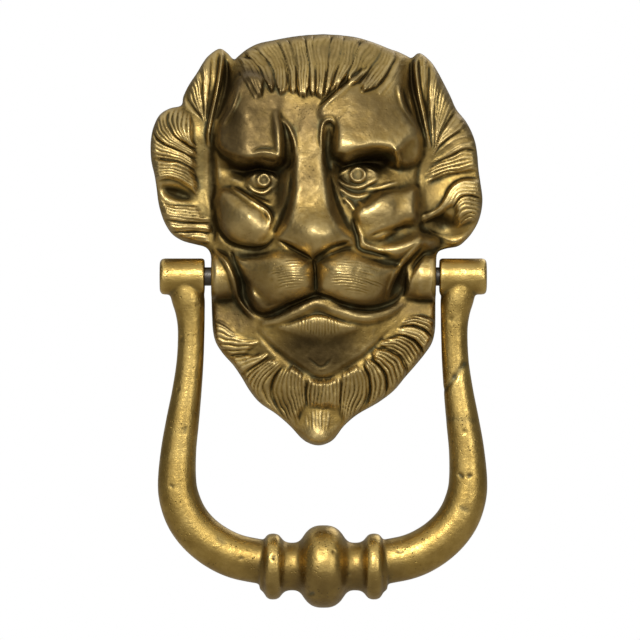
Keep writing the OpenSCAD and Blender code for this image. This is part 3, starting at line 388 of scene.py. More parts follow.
         (35.6, -39.6), (37.6, -46)]), (47.8, [(25.8, -32.8), (32.4, -33.2), (37.4, -37), (40, -43)]), (49.4,
        [(28.4, -30.8), (34, -31.2), (38.8, -34), (42.4, -39.6)]), (50.8, [(30, -29.2), (35.6, -29.2),
         (40.4, -31.6), (44.4, -36)]), (52.2, [(31, -27.4), (36.4, -27), (41, -28.6), (45.6, -32)]), (53.6,
        [(32, -25.4), (37, -24.6), (41.8, -25.6), (46, -28)])],
      (5.9, 8.9, 14.5, 21.5, 30.1, 36.9, 40.1, 44.3, 48.6, 51.5), 1.05, 1.7, 1.1, 0.4),
     # curl at the tip
     ([(-9.6, -66.4), (-7.6, -62.6), (-4.6, -60.6), (-1.9, -60.2), (1, -60.6), (4, -62.6), (5.8, -66.4),
       (4, -69), (0.6, -70.4), (-4.4, -70.4), (-7.6, -69)], [(0, [(-10, -60), (-9.4, -70)]), (2.6,
        [(-5.6, -59), (-5.4, -71)]), (5, [(-1.9, -59), (-1.9, -71)]), (7.4, [(1.8, -59), (1.6, -71)]), (10,
        [(6.2, -60), (5.6, -70)])], (), 1.0, 0.0, 0.6, 0.2),
]

# Patina, partly painted shade down the sides of the nose, along the mouth and on the chin and jaw: x, z,
# half-width, half-height, turn, amount, and how green it is
STAINS = [
    (14, 30.6, 10, 4.4, 0, 0.5, 0), (-24, 29.4, 8, 4, 0, 0.4, 0),
    (-28, 56, 15, 17, 10, 1.3, 0), (-27, 62, 9, 9, 0, 0.8, 0), (-33, 50, 9, 8, 0, 0.6, 0),
    (-6, 55, 8, 10, 0, 0.8, 0), (18, 57, 19, 12, -10, 0.8, 0), (-34, 45, 8, 5, 0, 0.5, 0),
    (-2, -38, 17, 9, 0, 1.0, 0), (-28, -12, 9, 6, -20, 0.4, 0), (23, -14, 9, 5, 20, 0.25, 0),
    (-5, 34, 8, 20, 0, 0.6, 0),
    (-34, -22, 10, 9, 0, 0.7, 0), (32, -20, 8, 7, 0, 0.6, 0), (0, -20, 26, 3, 0, 0.6, 0),
    (-37, -22, 9, 8, 0, 1.0, 0), (38, -21, 7, 6, 0, 0.5, 0), (-40, 20, 4, 14, 0, 0.7, 0),
    (-17, 22, 4, 14, 10, 0.8, 0), (6, 22, 4, 12, -12, 0.6, 0),
    (-60, 26, 7, 5, 0, 0.6, 1), (-47, 36, 5, 16, 0, 0.5, 0.8), (-30, 1, 8, 5, 0, 0.6, 1),
    (-24, 29, 7, 5, 0, 0.5, 0.8), (14, 30, 8, 5, 0, 0.5, 0.8), (-56, 14, 12, 9, 0, 0.45, 0.8),
    (45, 14, 8, 8, 0, 0.5, 0.5),
    (38, 30, 8, 14, 0, 0.5, 0.2), (-1, 82, 34, 7, 0, 0.6, 0.5), (46, 56, 10, 14, 0, 0.5, 0.5),
    (-50, 66, 8, 14, 0, 0.3, 0.6), (54, 46, 8, 8, 0, 0.6, 0.1), (30, 16, 9, 8, 0, 0.35, 0),
    (-6, 30, 4, 8, 0, 0.2, 0), (0, -50, 14, 5, 0, 0.3, 0),
]

# Painted shade under the brows, in the pupils, along the nose, mouth and chin and in the other hollows, with
# patina over the forehead; painted highlight where negative, on the muzzle, cheeks, lip, jaw and beard: x, z,
# half-width, half-height, turn, amount
PAINTED_LIGHT_AND_PATINA = [
    (-28, 54, 15, 15, 10, 0.5), (-5, 32, 8, 18, 0, 0.4), (16, 58, 17, 11, -10, 0.24),
    (-3, 10, 10, 7, 0, 0.12), (-2, -39, 16, 7, 0, 0.75), (-2, -33, 12, 4, 0, 0.3),
    (-10, -6.6, 7, 6, 0, -0.9), (7, -6, 9, 6, 0, -0.9), (-20, -50, 10, 8, 0, -0.3), (0, -54, 11, 8, 0, -0.3),
    (19, -50, 11, 9, 0, -0.3), (-40, -30, 7, 6, 0, -0.5), (38, -30, 8, 8, 0, -0.3), (-2, -67, 6, 5, 0, -0.3),
    (-2, -27.6, 9, 3, 0, -0.6), (13.7, 32.2, 2.2, 2.2, 0, 0.7), (-23.8, 30, 1.8, 1.8, 0, 0.6),
    (-28, 12, 8, 6, 30, -0.7), (24, 15, 8, 5, 0, -0.5), (-12, -33, 8, 5, -25, 0.3), (10, -33, 8, 5, 25, 0.3),
    (-17, 22, 2.6, 13, 8, 0.35),
    (-28, 36, 13, 3.6, 0, 1), (-17.4, 36, 3, 4, 0, 0.8), (21, 38, 13, 4.4, -5, 1), (4, 38, 2.6, 6, 0, 0.7),
    (-2, -17.4, 3, 3, 0, 0.7), (-20, -22, 12, 3, -14, 1), (12, -20.6, 12, 1.8, 4, 0.6),
    (-33, -14, 3, 10, 16, 0.8), (31, -11, 2.6, 9, -20, 0.9),
    (-36, -20, 7, 6, 0, 0.35), (-37.6, 66, 2.6, 11, 6, 0.9), (35, 66, 2.4, 12, -8, 0.9),
    (-12.6, 79, 3, 6, 0, 0.3), (-29, 71, 3, 6, 30, 0.6), (-24, -39, 5, 4, -30, 0.6), (0, -44, 16, 4, 0, 0.4),
    (-45, 28, 2, 20, 0, 0.5), (48, 13, 4, 3, -10, 0.5),
]

# Engraved patches: x, z, half-width, half-height, spacing, direction, bend, depth
HATCHES = [
    (-12.6, -7.4, 8.6, 6.6, 1.15, 5, 0.014, 0.55), (12, -8.4, 12.4, 7, 1.15, -7, 0.012, 0.55),
    (-1.6, -28.2, 4.4, 9.4, 1.25, 90, 0.0, 0.45),
]

# One arm of the bail from its eye down: share of the way out, share of the way down, radius
ARM = [
    (0.97, 0.03, 6.6), (0.925, 0.08, 6.6), (0.9, 0.13, 5.8), (0.89, 0.19, 5.35), (0.903, 0.29, 5.4),
    (0.942, 0.393, 5.9), (0.995, 0.497, 6.6), (1.045, 0.6, 7.1), (1.064, 0.703, 7.7), (1.034, 0.767, 8.1),
    (0.942, 0.832, 8.4), (0.787, 0.888, 8.6), (0.575, 0.934, 8.8), (0.327, 0.966, 8.9), (0, 0.985, 8.9),
]

# Half of the turned grip: radius, distance from its middle
GRIP = [
    (16.5, 0), (16.48, 1.4), (16.3, 2.8), (15.8, 4.3), (15.0, 5.6), (13.9, 6.8), (12.6, 7.8), (11.4, 8.6),
    (10.5, 9.4), (9.9, 10.3), (9.6, 11.4), (9.55, 12.6), (9.6, 13.8), (9.9, 15.0), (10.5, 16.0), (11.4, 16.8),
    (12.3, 17.5), (12.95, 18.5), (13.2, 19.7), (13.2, 20.8), (12.95, 21.9), (12.3, 22.8), (11.4, 23.4),
    (10.4, 24.0), (9.7, 24.8), (8.9, 25.6),
]

# Flaws on the front of the bail, each from one point to another: x, z, x, z, radius, depth, staining
FLAWS = [
    (48.7, -53.6, 52.4, -48.6, 1.0, 0.3, 1), (52.4, -48.6, 56.4, -43.4, 1.3, 0.35, 1),
    (47.6, -65, 60, -66, 1.3, 0.05, 0.6), (50.7, -25.8, 50.9, -25.4, 0.9, 0.45, 0.2),
    (54.2, -87.6, 55, -88.2, 0.8, 0.6, 0.7), (58, -88.2, 58.6, -88.2, 0.7, 0.6, 0.7),
    (55, -101, 57, -101.6, 1.3, 0.15, 0.7), (-5.2, -135.2, -4.4, -135, 0.9, 0.6, 0.8),
    (-19.8, -120.4, -19.4, -120.2, 0.9, 0.4, 0.5), (-57, -34, -56.8, -33, 0.6, 0.35, 0.2),
    (-55.6, -71, -55, -69, 0.8, 0.2, 0.5), (-61, -92, -60.4, -92.4, 0.6, 0.4, 0.4),
    (-50.6, -20, -50, -20, 0.6, 0.3, 0.2), (-33, -121, -32.6, -120.8, 0.7, 0.35, 0.3),
    (30, -118, 31, -118.4, 0.7, 0.3, 0.4), (4, -118, 4.4, -118, 0.6, 0.35, 0.3),
    (10, -127, 10.4, -127.2, 0.6, 0.35, 0.3), (-42, -113, -40, -114.4, 1.3, 0.1, 0.4),
    (56, -70, 56.4, -70.8, 0.6, 0.3, 0.3), (-58.4, -54, -58, -53, 0.6, 0.3, 0.2),
]


def curve(points, n):
    """n points along a smooth curve through the given ones, and their parameter from 0 to 1."""
    p = np.asarray(points, float)
    p = np.vstack([2 * p[0] - p[1], p, 2 * p[-1] - p[-2]])
    t = np.linspace(0, len(points) - 1, n)
    k = np.minimum(t.astype(int), len(points) - 2)
    f = (t - k)[:, None]
    a, b, c, d = p[k], p[k + 1], p[k + 2], p[k + 3]
    q = 2 * b + (c - a) * f
    q = q + (2 * a - 5 * b + 4 * c - d) * f**2 + (3 * b - a - 3 * c + d) * f**3
    return q / 2, t / (len(points) - 1)


def soft_max(a, b, k):
    """The larger of two heights, with the join softened over about k."""
    return 0.5 * (a + b + np.sqrt((a - b) ** 2 + k * k))


def blur(a, sigma):
    """Gaussian blur of a grid, sigma in millimetres."""
    n = int(3 * sigma / GRID) + 1
    p = np.pad(a, n, mode="edge")
    kx = np.fft.rfftfreq(p.shape[1], GRID)[None, :]
    kz = np.fft.fftfreq(p.shape[0], GRID)[:, None]
    g = np.exp(-2 * (np.pi * sigma) ** 2 * (kx**2 + kz**2))
    return np.fft.irfft2(np.fft.rfft2(p) * g, s=p.shape)[n:-n, n:-n]


def turned(x, z, cx, cz, turn):
    """Offsets from a centre, along and across a direction given in degrees."""
    a = np.radians(turn)
    dx, dz = x - cx, z - cz
    return dx * np.cos(a) + dz * np.sin(a), dz * np.cos(a) - dx * np.sin(a)


def oval(x, z, cx, cz, rx, rz, turn):
    """Squared distance from the centre of an oval, 1 on its edge."""
    u, v = turned(x, z, cx, cz, turn)
    return (u / rx) ** 2 + (v / rz) ** 2


def close_to(x, z, points, pad):
    """Which grid points lie in the box round some points, made wider by pad."""
    (x0, z0), (x1, z1) = np.min(points, 0) - pad, np.max(points, 0) + pad
    return np.nonzero((x > x0) & (x < x1) & (z > z0) & (z < z1))


def along(x, z, points, widths):
    """For grid points near a line: which they are, the share of its length, and the offset in half-widths."""
    c, t = curve(points, 12 * len(points))
    w = np.interp(t, np.linspace(0, 1, len(widths)), widths)
    near = close_to(x, z, c, w.max() + 0.5)
    px, pz = x[near], z[near]
    offset, share = np.full(px.shape, FAR), np.zeros(px.shape)
    for i in range(len(c) - 1):
        d = c[i + 1] - c[i]
        u = np.clip(((px - c[i, 0]) * d[0] + (pz - c[i, 1]) * d[1]) / (d @ d), 0, 1)
        dist = np.hypot(px - c[i, 0] - u * d[0], pz - c[i, 1] - u * d[1])
        q = dist / (w[i] + u * (w[i + 1] - w[i]))
        m = q < offset
        offset[m] = q[m]
        share[m] = (t[i] + u * (t[i + 1] - t[i]))[m]
    return near, share, offset


def surface(points, x, z):
    """A smooth sheet through points of (x, z, height), bending as little as it can."""
    px, pz, heights = np.asarray(points, float).T
    n = len(px)

    def bend(dx, dz):
        q = dx * dx + dz * dz
        return q * np.log(q + 1e-9)

    # many points are met loosely, a few exactly
    loose = 2.0 * (n > 20)
    m = np.zeros((n + 3, n + 3))
    m[:n, :n] = bend(px[:, None] - px, pz[:, None] - pz) + loose * np.eye(n)
    m[:n, n], m[:n, n + 1], m[:n, n + 2] = 1, px, pz
    m[n:, :n] = m[:n, n:].T
    w = np.linalg.solve(m, np.concatenate([heights, [0, 0, 0]]))
    out = w[n] + w[n + 1] * x + w[n + 2] * z
    for i in range(n):
        out = out + w[i] * bend(x - px[i], z - pz[i])
    return out


def ring_distance(x, z, points):
    """Distance in from a closed smooth edge, negative outside, and the nearest point on it."""
    c, _ = curve(list(points) + [points[0]], 4 * len(points) + 1)
    best = np.full(x.shape, FAR)
    nx, nz = x.copy(), z.copy()
    inside = np.zeros(x.shape, bool)
    for a, b in zip(c[:-1], c[1:]):
        d = b - a
        u = np.clip(((x - a[0]) * d[0] + (z - a[1]) * d[1]) / max(d @ d, 1e-9), 0, 1)
        qx, qz = a[0] + u * d[0], a[1] + u * d[1]
        gap = np.hypot(x - qx, z - qz)
        m = gap < best
        best[m], nx[m], nz[m] = gap[m], qx[m], qz[m]
        crosses = (a[1] > z) != (b[1] > z)
        inside ^= crosses & (x < (b[0] - a[0]) * (z - a[1]) / (b[1] - a[1] + 1e-12) + a[0])
    return np.where(inside, best, -best), nx, nz


def stain(x, z):
    """Stain, partly painted shade, green patina, and painted shade with some patina at each spot; that last
    below 0 is painted highlight.
    """
    brown_and_painted_shade, green, painted_light_and_patina = np.zeros((3, *x.shape))
    for *place, amount, greenish in STAINS:
        here = amount * np.exp(-(oval(x, z, *place) ** 1.5))
        brown_and_painted_shade += here * (1 - greenish)
        green += here * greenish
    for *place, amount in PAINTED_LIGHT_AND_PATINA:
        painted_light_and_patina += amount * np.exp(-(oval(x, z, *place) ** 1.5))
    return np.clip(brown_and_painted_shade, 0, 1), np.clip(green, 0, 1), np.clip(painted_light_and_patina, -1, 1)


def pivot_rod(z, radius, slope):
    """Height of a round rod lying on the pivot line, with straight slopes outside it."""
    off = np.abs(z - PIVOT_Z)
    return -PIVOT_Y + np.sqrt(np.maximum(radius**2 - off**2, 0)) - slope * np.maximum(off - radius, 0)


def add_plates(h, x, z):
    """Joins the masses that have an edge of their own."""
    for edge, heights, r, slope, soft in PLATES:
        near = close_to(x, z, edge, 7)
        px, pz = x[near], z[near]
        d, _, _ = ring_distance(px, pz, edge)
        tops = [p[2] for p in heights]
        top = np.clip(surface(heights, px, pz), min(tops) - 2, max(tops) + 0.6)
        inner = np.clip(d / r, 0, 1)
        drop = r * (0.9 if r < 3 else 0.75)
        plate = top - drop * (1 - np.sqrt(1 - (1 - inner) ** 2)) - slope * np.maximum(-d, 0)
        h[near] = soft_max(h[near], plate, soft)


def add_hair(h, x, z, rng):
    """Adds the strands and locks."""
    for patch, (edge, guides, seams, density, crown, depth, rise) in enumerate(HAIR):
        fringe = patch == FRINGE
        near = close_to(x, z, edge, 1)
        px, pz = x[near], z[near]
        d, _, _ = ring_distance(px, pz, edge)
        m = d > -1
        near, px, pz, d = (near[0][m], near[1][m]), px[m], pz[m], d[m]
        spots = [(*q, number) for number, line in guides for q in curve(line, 4 * len(line) - 3)[0]]
        number = surface(spots, px, pz)
        wobble = (0.12 + 0.25 * (pz > 76)) * np.sin(px / 2.3 + pz / 3.1 + rng.uniform(0, 6))
        wobble += 0.07 * np.sin(px / 1.1 - pz / 1.3 + rng.uniform(0, 6))
        # s runs from -1 to 1 across each lock
        cuts = np.array([guides[0][0] - 1.5, *seams, guides[-1][0] + 1.5])
        lock = np.clip(np.searchsorted(cuts, number) - 1, 0, len(cuts) - 2)
        low, high = cuts[lock], cuts[lock + 1]
        s = np.clip((number - low) / (high - low), 0, 1) * 2 - 1
        tall, lean = rng.uniform(0.75, 1.15, len(cuts)), rng.uniform(-0.4, 0.4, len(cuts))
        count = number * density + wobble
        strand = np.clip(np.floor(count).astype(int) + FIRST_STRAND, 0, STRANDS - 1)
        # the crown above the fringe lies flatter
        still = np.clip((78 - pz) / 7, 0.22, 1) if fringe else 1
        size, jog = rng.uniform(0.55, 1.15, STRANDS), rng.uniform(-0.25, 0.25, STRANDS)
        cut = rng.uniform(-1.2, 1.4, STRANDS) * (1 if fringe else 0.4)
        groove = np.abs(np.sin(np.pi * count)) ** 0.7 * size[strand] + jog[strand]
        shallow = 0.75 + 0.35 * np.sin(px / 5.1 + 1.7 * lock) * np.cos(pz / 4.3 + lock)
        # strands end unevenly at the patch's edge
        d = d - np.interp(count + (FIRST_STRAND - 0.5), np.arange(STRANDS), cut)
        d = d - (3.0 if fringe else 1.8) * s * s
        inner = np.clip(d / (2.6 if fringe else 3.2), 0, 1)
        inner = inner * inner * (3 - 2 * inner)
        body = rise + still * crown * tall[lock] * (1 - np.abs(s) ** 2.4) + lean[lock] * s
        body = body + depth * shallow * (0.2 + 0.8 * still) * (groove - 0.75)
        seam = sum(np.exp(-(((number - c) / 0.3) ** 2)) for c in seams)
        h[near] += inner * (body - 0.25 * still * seam)


def engrave(h, x, z, rng):
    """Cuts the engraved lines."""
    for cx, cz, rx, rz, pitch, turn, bend, depth in HATCHES:
        u, v = turned(x, z, cx, cz, turn)
        wave = v + bend * u * u + 0.3 * np.sin(u / 5 + v / 3) + 0.07 * np.sin(u / 0.8 + v)
        row = np.clip(np.round(wave / pitch).astype(int) + ROWS // 2, 0, ROWS - 1)
        reach, shift = rng.uniform(0.65, 1.05, ROWS), rng.uniform(-0.18, 0.18, ROWS)
        heavy = rng.uniform(0.6, 1.1, ROWS)
        q = ((u / rx - shift[row]) / reach[row]) ** 2 + (v / rz) ** 2
        fade = np.clip(1.8 * (1 - q), 0, 1)
        h -= depth * heavy[row] * fade * np.exp(-((((wave / pitch + 0.5) % 1) - 0.5) / 0.2) ** 2)


def face_height(x, z, rng):
    """Height of the lion's face above the door on a grid."""
    h = surface(BASE, x, z)
    for *place, height, square in SWELLS:
        h += height * np.exp(-(oval(x, z, *place) ** square))
    add_plates(h, x, z)
    for *place, top in EYEBALLS:
        q = oval(x, z, *place)
        h = soft_max(h, top - 4 + 4 * np.sqrt(np.maximum(1 - q, 0)) - 6 * np.maximum(q - 1, 0), 0.4)
    # the lugs are round bars across the jaw
    bar = pivot_rod(z, BAR_R, 2.5) - 0.5 * np.maximum(38.5 - np.abs(x), 0)
    bar = bar - 1.5 * np.maximum(PIN_HEAD_X - np.abs(x), 0)
    h = blur(soft_max(h, bar, 3), 0.7)
    for points, widths, height in LINES:
        near, share, offset = along(x, z, points, widths)
        s = np.minimum(offset, 1)
        ends = np.clip(np.minimum(share, 1 - share) * 5, 0, 1) ** 0.7
        h[near] += height * ends * (1 - s * s) ** 2
    # metal in front of the heads of the pivot pins
    sleeve = pivot_rod(z, SLEEVE_R, 3)
    h = soft_max(h, sleeve - 3 * np.maximum(PIN_HEAD_X - np.abs(x), 0), 0.6)
    for cx, cz, size in IRISES:
        r = np.hypot(x - cx, z - cz)
        h += 0.65 * np.exp(-(((r - size) / 0.5) ** 2)) - 0.75 * np.exp(-((r / (size - 0.8)) ** 6))
        h -= 0.3 * np.exp(-(((r - size - 0.9) / 0.5) ** 2))
    h = blur(h, 0.4)
    add_hair(h, x, z, rng)
    engrave(h, x, z, rng)
    return h


# ---------------------------------------------------------------- meshes
def link(obj):
    bpy.context.scene.collection.objects.link(obj)
    return obj


def new_mesh(name, points, faces):
    """A mesh from points in millimetres."""
    mesh = bpy.data.meshes.new(name)
    mesh.from_pydata((points * MM).tolist(), [], [list(map(int, f)) for f in faces])
    return mesh


def make_object(name, points, faces, body, replaced, material, layers):
    """A smooth mesh object with per-point layers, riding on a body."""
    mesh = new_mesh(name, points, faces)
    mesh.update()
    mesh.polygons.foreach_set("use_smooth", [True] * len(mesh.polygons))
    for key, values in layers.items():
        layer = mesh.attributes.new(key, "FLOAT", "POINT")
        layer.data.foreach_set("value", np.asarray(values, np.float32))
    mesh.materials.append(material)
    obj = link(bpy.data.objects.new(name, mesh))
    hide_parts(*replaced)
    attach(obj, body)
    return obj


def band(first, second, n):
    """Quads between two rings of n points, from the number of each ring's first point."""
    return [(first + k, second + k, second + (k + 1) % n, first + (k + 1) % n) for k in range(n)]


def lathe(profile, sides, origin, axis):
    """A profile of (radius, distance along the axis) turned about an axis through origin; a closed mesh."""
    prof = np.asarray(profile, float)
    a = np.linspace(0, 2 * np.pi, sides, endpoint=False)
    ca, sa = np.cos(a)[None, :], np.sin(a)[None, :]
    r, t = prof[:, 0][:, None], prof[:, 1][:, None] + np.zeros((len(prof), sides))
    pts = np.stack([t, r * ca, r * sa] if axis == "x" else [r * sa, t, r * ca], -1)
    n = len(prof)
    faces = [f for i in range(n) for f in band(i * sides, (i + 1) % n * sides, sides)]
    return pts.reshape(-1, 3) + np.asarray(origin, float), faces


def solid_rows(rows):
    """Closed mesh through rings of points, with a fan at each end."""
    n = len(rows[0])
    pts = np.vstack([*rows, rows[0].mean(0)[None], rows[-1].mean(0)[None]])
    faces = [f for i in range(len(rows) - 1) for f in band(i * n, (i + 1) * n, n)]
    first, last = len(rows) * n, len(rows) * n + 1
    for k in range(n):
        m = (k + 1) % n
        faces.append((first, k, m))
        faces.append((last, (len(rows) - 1) * n + m, (len(rows) - 1) * n + k))
    return pts, faces


def joined(parts):
    """Several meshes as one."""
    pts, faces, base = [], [], 0
    for p, f in parts:
        pts.append(np.asarray(p, float))
        faces.extend([tuple(int(i) + base for i in q) for q in f])
        base += len(p)
    return np.vstack(pts), faces


# ---------------------------------------------------------------- the mask
def kept_cells(dist):
    """The grid's cells whose centre is inside the outline, filled where two would meet at a corner only."""
    keep = (dist[:-1, :-1] + dist[1:, :-1] + dist[:-1, 1:] + dist[1:, 1:]) / 4 > 0
    for _ in range(4):
        a, b, c, d = keep[:-1, :-1], keep[:-1, 1:], keep[1:, :-1], keep[1:, 1:]
        fill = (a & d & ~b & ~c) | (b & c & ~a & ~d)
        for corner in (a, b, c, d):
            corner |= fill
    return keep


def rim_of(quads):
    """The points along the open edge of a patch of quads, in order."""
    pairs = np.vstack([quads[:, [0, 1]], quads[:, [1, 2]], quads[:, [2, 3]], quads[:, [3, 0]]])
    directed = set(map(tuple, pairs.tolist()))
    following = {a: b for a, b in directed if (b, a) not in directed}
    loop = [next(iter(following))]
    while following[loop[-1]] != loop[0]:
        loop.append(following[loop[-1]])
    return np.array(loop)


def back_rows(rim, height, xs, zs):
    """Rings of points down the side wall, over the rim and into the hollow back, and how much painted shade
    each gets.
    """
    lx, ly, lz = rim.T
    reach = np.hypot(lx - BACK_X, lz - BACK_Z)
    low = np.minimum(blur(height, 5), height + 1.2)
    for step in (3, 6, 9):
        for axis in (0, 1):
            low = np.minimum(low, np.minimum(np.roll(low, step, axis), np.roll(low, -step, axis)))
    low = blur(low, 4) - 0.6
    rows, shade = [], []
    # the wall from the front down to the door: share of the height, and how far in
    for part, inset in ((0.8, 0), (0.6, 0), (0.4, 0), (0.2, 0), (0.05, 0.03), (0.012, 0.2), (0, 0.6)):
        f = 1 - inset / reach
        rows.append(np.stack([BACK_X + (lx - BACK_X) * f, part * ly, BACK_Z + (lz - BACK_Z) * f], 1))
        shade.append(0.1)
    # the hollow: even steps in from the wall, then shares of what is left
    rings = [(1 - inset / reach, inset) for inset in (5.2, 5.8, 6.2, 7.4, 9.0)]
    shares = (0.93, 0.86, 0.78, 0.7, 0.61, 0.52, 0.43, 0.34, 0.25, 0.16, 0.08, 0.03)
    rings += [((1 - 9 / reach) * share, 9) for share in shares]
    for f, inset in rings:
        qx, qz = BACK_X + (lx - BACK_X) * f, BACK_Z + (lz - BACK_Z) * f
        column = np.clip(((qx - xs[0]) / GRID).astype(int), 0, len(xs) - 1)
        row = np.clip(((zs[0] - qz) / GRID).astype(int), 0, len(zs) - 1)
        cap = 21 + 13 * np.exp(-(((qx + 3) / 17) ** 2) - ((qz - 4) / 20) ** 2)
        depth = np.maximum(3, np.minimum(cap, low[row, column] - WALL))
        wall = 0 if inset < 6 else min(1, (inset - 5.8) / 2.2) ** 0.5
        rows.append(np.stack([qx, -depth * wall, qz], 1))
        shade.append(0.25 if inset < 6 else 0.55)
    return rows, shade


def build_mask(material):
    rng = np.random.default_rng(7)
    xs, zs = np.arange(-71.1, 66.2, GRID), np.arange(91, -78.6, -GRID)
    x, z = np.meshgrid(xs, zs)
    dist, nx, nz = ring_distance(x, z, OUTLINE)
    face = face_height(x, z, rng)
    low = blur(face, 1.2)
    rounded = np.sqrt(1 - (1 - np.clip(dist / EDGE_R, 0, 1)) ** 2)
    height = low - EDGE_DROP * (1 - rounded) + (face - low) * np.clip(dist / 1.2, 0, 1)

    def lumps(size, amount):
        n = blur(rng.normal(size=x.shape), size)
        return amount * n / n.std()

    height += (lumps(5, 0.28) + lumps(1.8, 0.09) + lumps(0.7, 0.03)) * np.clip(dist / 2, 0.2, 1)
    # what the brass shader reads: hollows at three scales, which it paints with shade, and the patina and
    # painted light
    fine = np.clip((blur(height, 0.7) - height) / 0.4, -1, 1)
    middle = np.clip((blur(height, 2.4) - height) / 2.6, -1, 1)
    deep = np.clip((blur(height, 8.0) - height) / 9.0, -1, 1)
    brown_and_painted_shade, green, painted_light_and_patina = stain(x, z)
    steep = np.hypot(*np.gradient(blur(height, 0.6), GRID))
    brown_and_painted_shade = np.clip(brown_and_painted_shade + 0.55 * np.clip((steep - 0.9) / 1.4, 0, 1), 0, 1)
    # the front, with its rim drawn on to the outline
    i, j = np.nonzero(kept_cells(dist))
    cols = x.shape[1]
    corner = i * cols + j
    quads = np.stack([corner, corner + cols, corner + cols + 1, corner + 1], 1)
    used = np.unique(quads)
    index = np.full(x.size, -1)
    index[used] = np.arange(len(used))
    quads = index[quads]
    front = np.stack([x.ravel()[used], -height.ravel()[used], z.ravel()[used]], 1)
    loop = rim_of(quads)
    front[loop, 0], front[loop, 2] = nx.ravel()[used][loop], nz.ravel()[used][loop]
    for _ in range(3):
        rim = front[loop]
        front[loop] = (np.roll(rim, 1, 0) + 2 * rim + np.roll(rim, -1, 0)) / 4
    points, faces = [front], [tuple(q) for q in quads.tolist()]
    # side wall and hollow back, closed by a fan
    rows, shade = back_rows(front[loop], height, xs, zs)
    count, n, previous = len(front), len(loop), loop
    for row in rows:
        current = np.arange(count, count + n)
        points.append(row)
        rings = (previous, current, np.roll(current, -1), np.roll(previous, -1))
        faces.extend(zip(*(ring.tolist() for ring in rings)))
        previous, count = current, count + n
    points.append(np.array([[BACK_X, rows[-1][:, 1].mean(), BACK_Z]]))
    faces.extend((a, count, b) for a, b in zip(previous.tolist(), np.roll(previous, -1).tolist()))
    parts = [(np.vstack(points), faces)]
    # lugs, with pockets for the heads of the pins
    for side in (-1, 1):
        prof = [
            (PIN_BORE, 36.6), (6.2, 36.6), (8.4, 39.4), (8.8, 40.4), (8.8, LUG_X - 1.0), (8.6, LUG_X - 0.4),
            (8.1, LUG_X - 0.05), (7.4, LUG_X), (4.4, LUG_X), (3.95, LUG_X - 0.12), (PIN_BORE, LUG_X - 0.5),
        ]
        prof = [(r, side * t) for r, t in prof][::side]
        parts.append(lathe(prof, 72, (0, PIVOT_Y, PIVOT_Z), "x"))
    # stud bosses
    for place in (STUD_Z, -STUD_Z):
        prof = [
            (2.7, -1.8), (2.8, -1.3), (3.2, -1), (5.7, -1), (6.2, -1.15), (6.5, -1.8), (6.5, -24), (2.7, -24),
        ]
        parts.append(lathe(prof, 64, (0, 0, place), "y"))
    every, all_faces = joined(parts)
    # painted shade on the side wall and more in the hollow back; the lugs and stud bosses get fixed amounts
    # of each layer
    wall = np.concatenate([np.repeat(shade, n), [0.5]])
    extra = len(every) - len(parts[0][0])
    grids = (fine, middle, deep, brown_and_painted_shade, green, painted_light_and_patina)
    on_wall, on_lugs = (0, 0.5, 1, 1, 0.3, 0.5), (0, 0.1, 0.25, 0.2, 0.1, 0)
    layers = {
        key: np.concatenate([grid.ravel()[used], wall * share, np.full(extra, level)])
        for key, grid, share, level in zip(LAYERS, grids, on_wall, on_lugs)
    }
    return make_object("mask_casting", every, all_faces, "mask", ("lion_mask",), material, layers)


# ---------------------------------------------------------------- the bail
def bail_parts():
    """The eyes, the arms and the turned grip, not yet one skin."""
    parts = []
    for side, start, length in ((-1, LUG_X + GAP_LEFT, EYE_LEFT), (1, LUG_X + GAP_RIGHT, EYE_RIGHT)):
        prof = [
            (AXIS_R, 0), (EYE_R - 0.7, 0), (EYE_R - 0.2, 0.25), (EYE_R, 0.8), (EYE_R, length - 1.7),
            (EYE_R - 0.25, length - 0.9), (EYE_R - 0.9, length - 0.25), (EYE_R - 1.8, length),
            (AXIS_R, length),
        ]
        prof = [(r, side * (start + t)) for r, t in prof][::side]
        parts.append(lathe(prof, 128, (0, PIVOT_Y, PIVOT_Z), "x"))
        rows, _ = curve(ARM, 90)
        mx = ARM_IN + (start + length / 2 - ARM_IN) * rows[:, 0]
        mz = -DROP * rows[:, 1]
        gx, gz = np.gradient(mx), np.gradient(mz)
        norm = np.hypot(gx, gz)
        gx, gz = gx / norm, gz / norm
        a = np.linspace(0, 2 * np.pi, 72, endpoint=False)
        rings = []
        for k, rad in enumerate(rows[:, 2]):
            px = side * (mx[k] - gz[k] * rad * np.cos(a))
            py = PIVOT_Y + side * rad * np.sin(a)
            pz = PIVOT_Z + mz[k] + gx[k] * rad * np.cos(a)
            rings.append(np.stack([px, py, pz], 1))
        parts.append(solid_rows(rings))
    fine_half, _ = curve(GRIP, 5 * (len(GRIP) + 1))
    half = np.vstack([fine_half, [(AXIS_R, GRIP[-1][1])]])
    prof = np.vstack([(half * [1, -1])[::-1][:-1], half])
    parts.append(lathe(prof[::-1], 144, (0, PIVOT_Y, PIVOT_Z - DROP), "x"))
    return parts


def one_skin(points, faces):
    """Solids that overlap, remeshed as one; its points in millimetres, and its quads."""
    raw = link(bpy.data.objects.new("bail_raw", new_mesh("bail_raw", points, faces)))
    mod = raw.modifiers.new("Remesh", "REMESH")
    mod.mode = "VOXEL"
    mod.voxel_size = 0.55 * MM
    graph = bpy.context.evaluated_depsgraph_get()
    done = raw.evaluated_get(graph).to_mesh()
    p = np.zeros(len(done.vertices) * 3)
    done.vertices.foreach_get("co", p)
    quads = [tuple(f.vertices) for f in done.polygons]
    raw.evaluated_get(graph).to_mesh_clear()
    bpy.data.objects.remove(raw)
    return p.reshape(-1, 3) / MM, quads


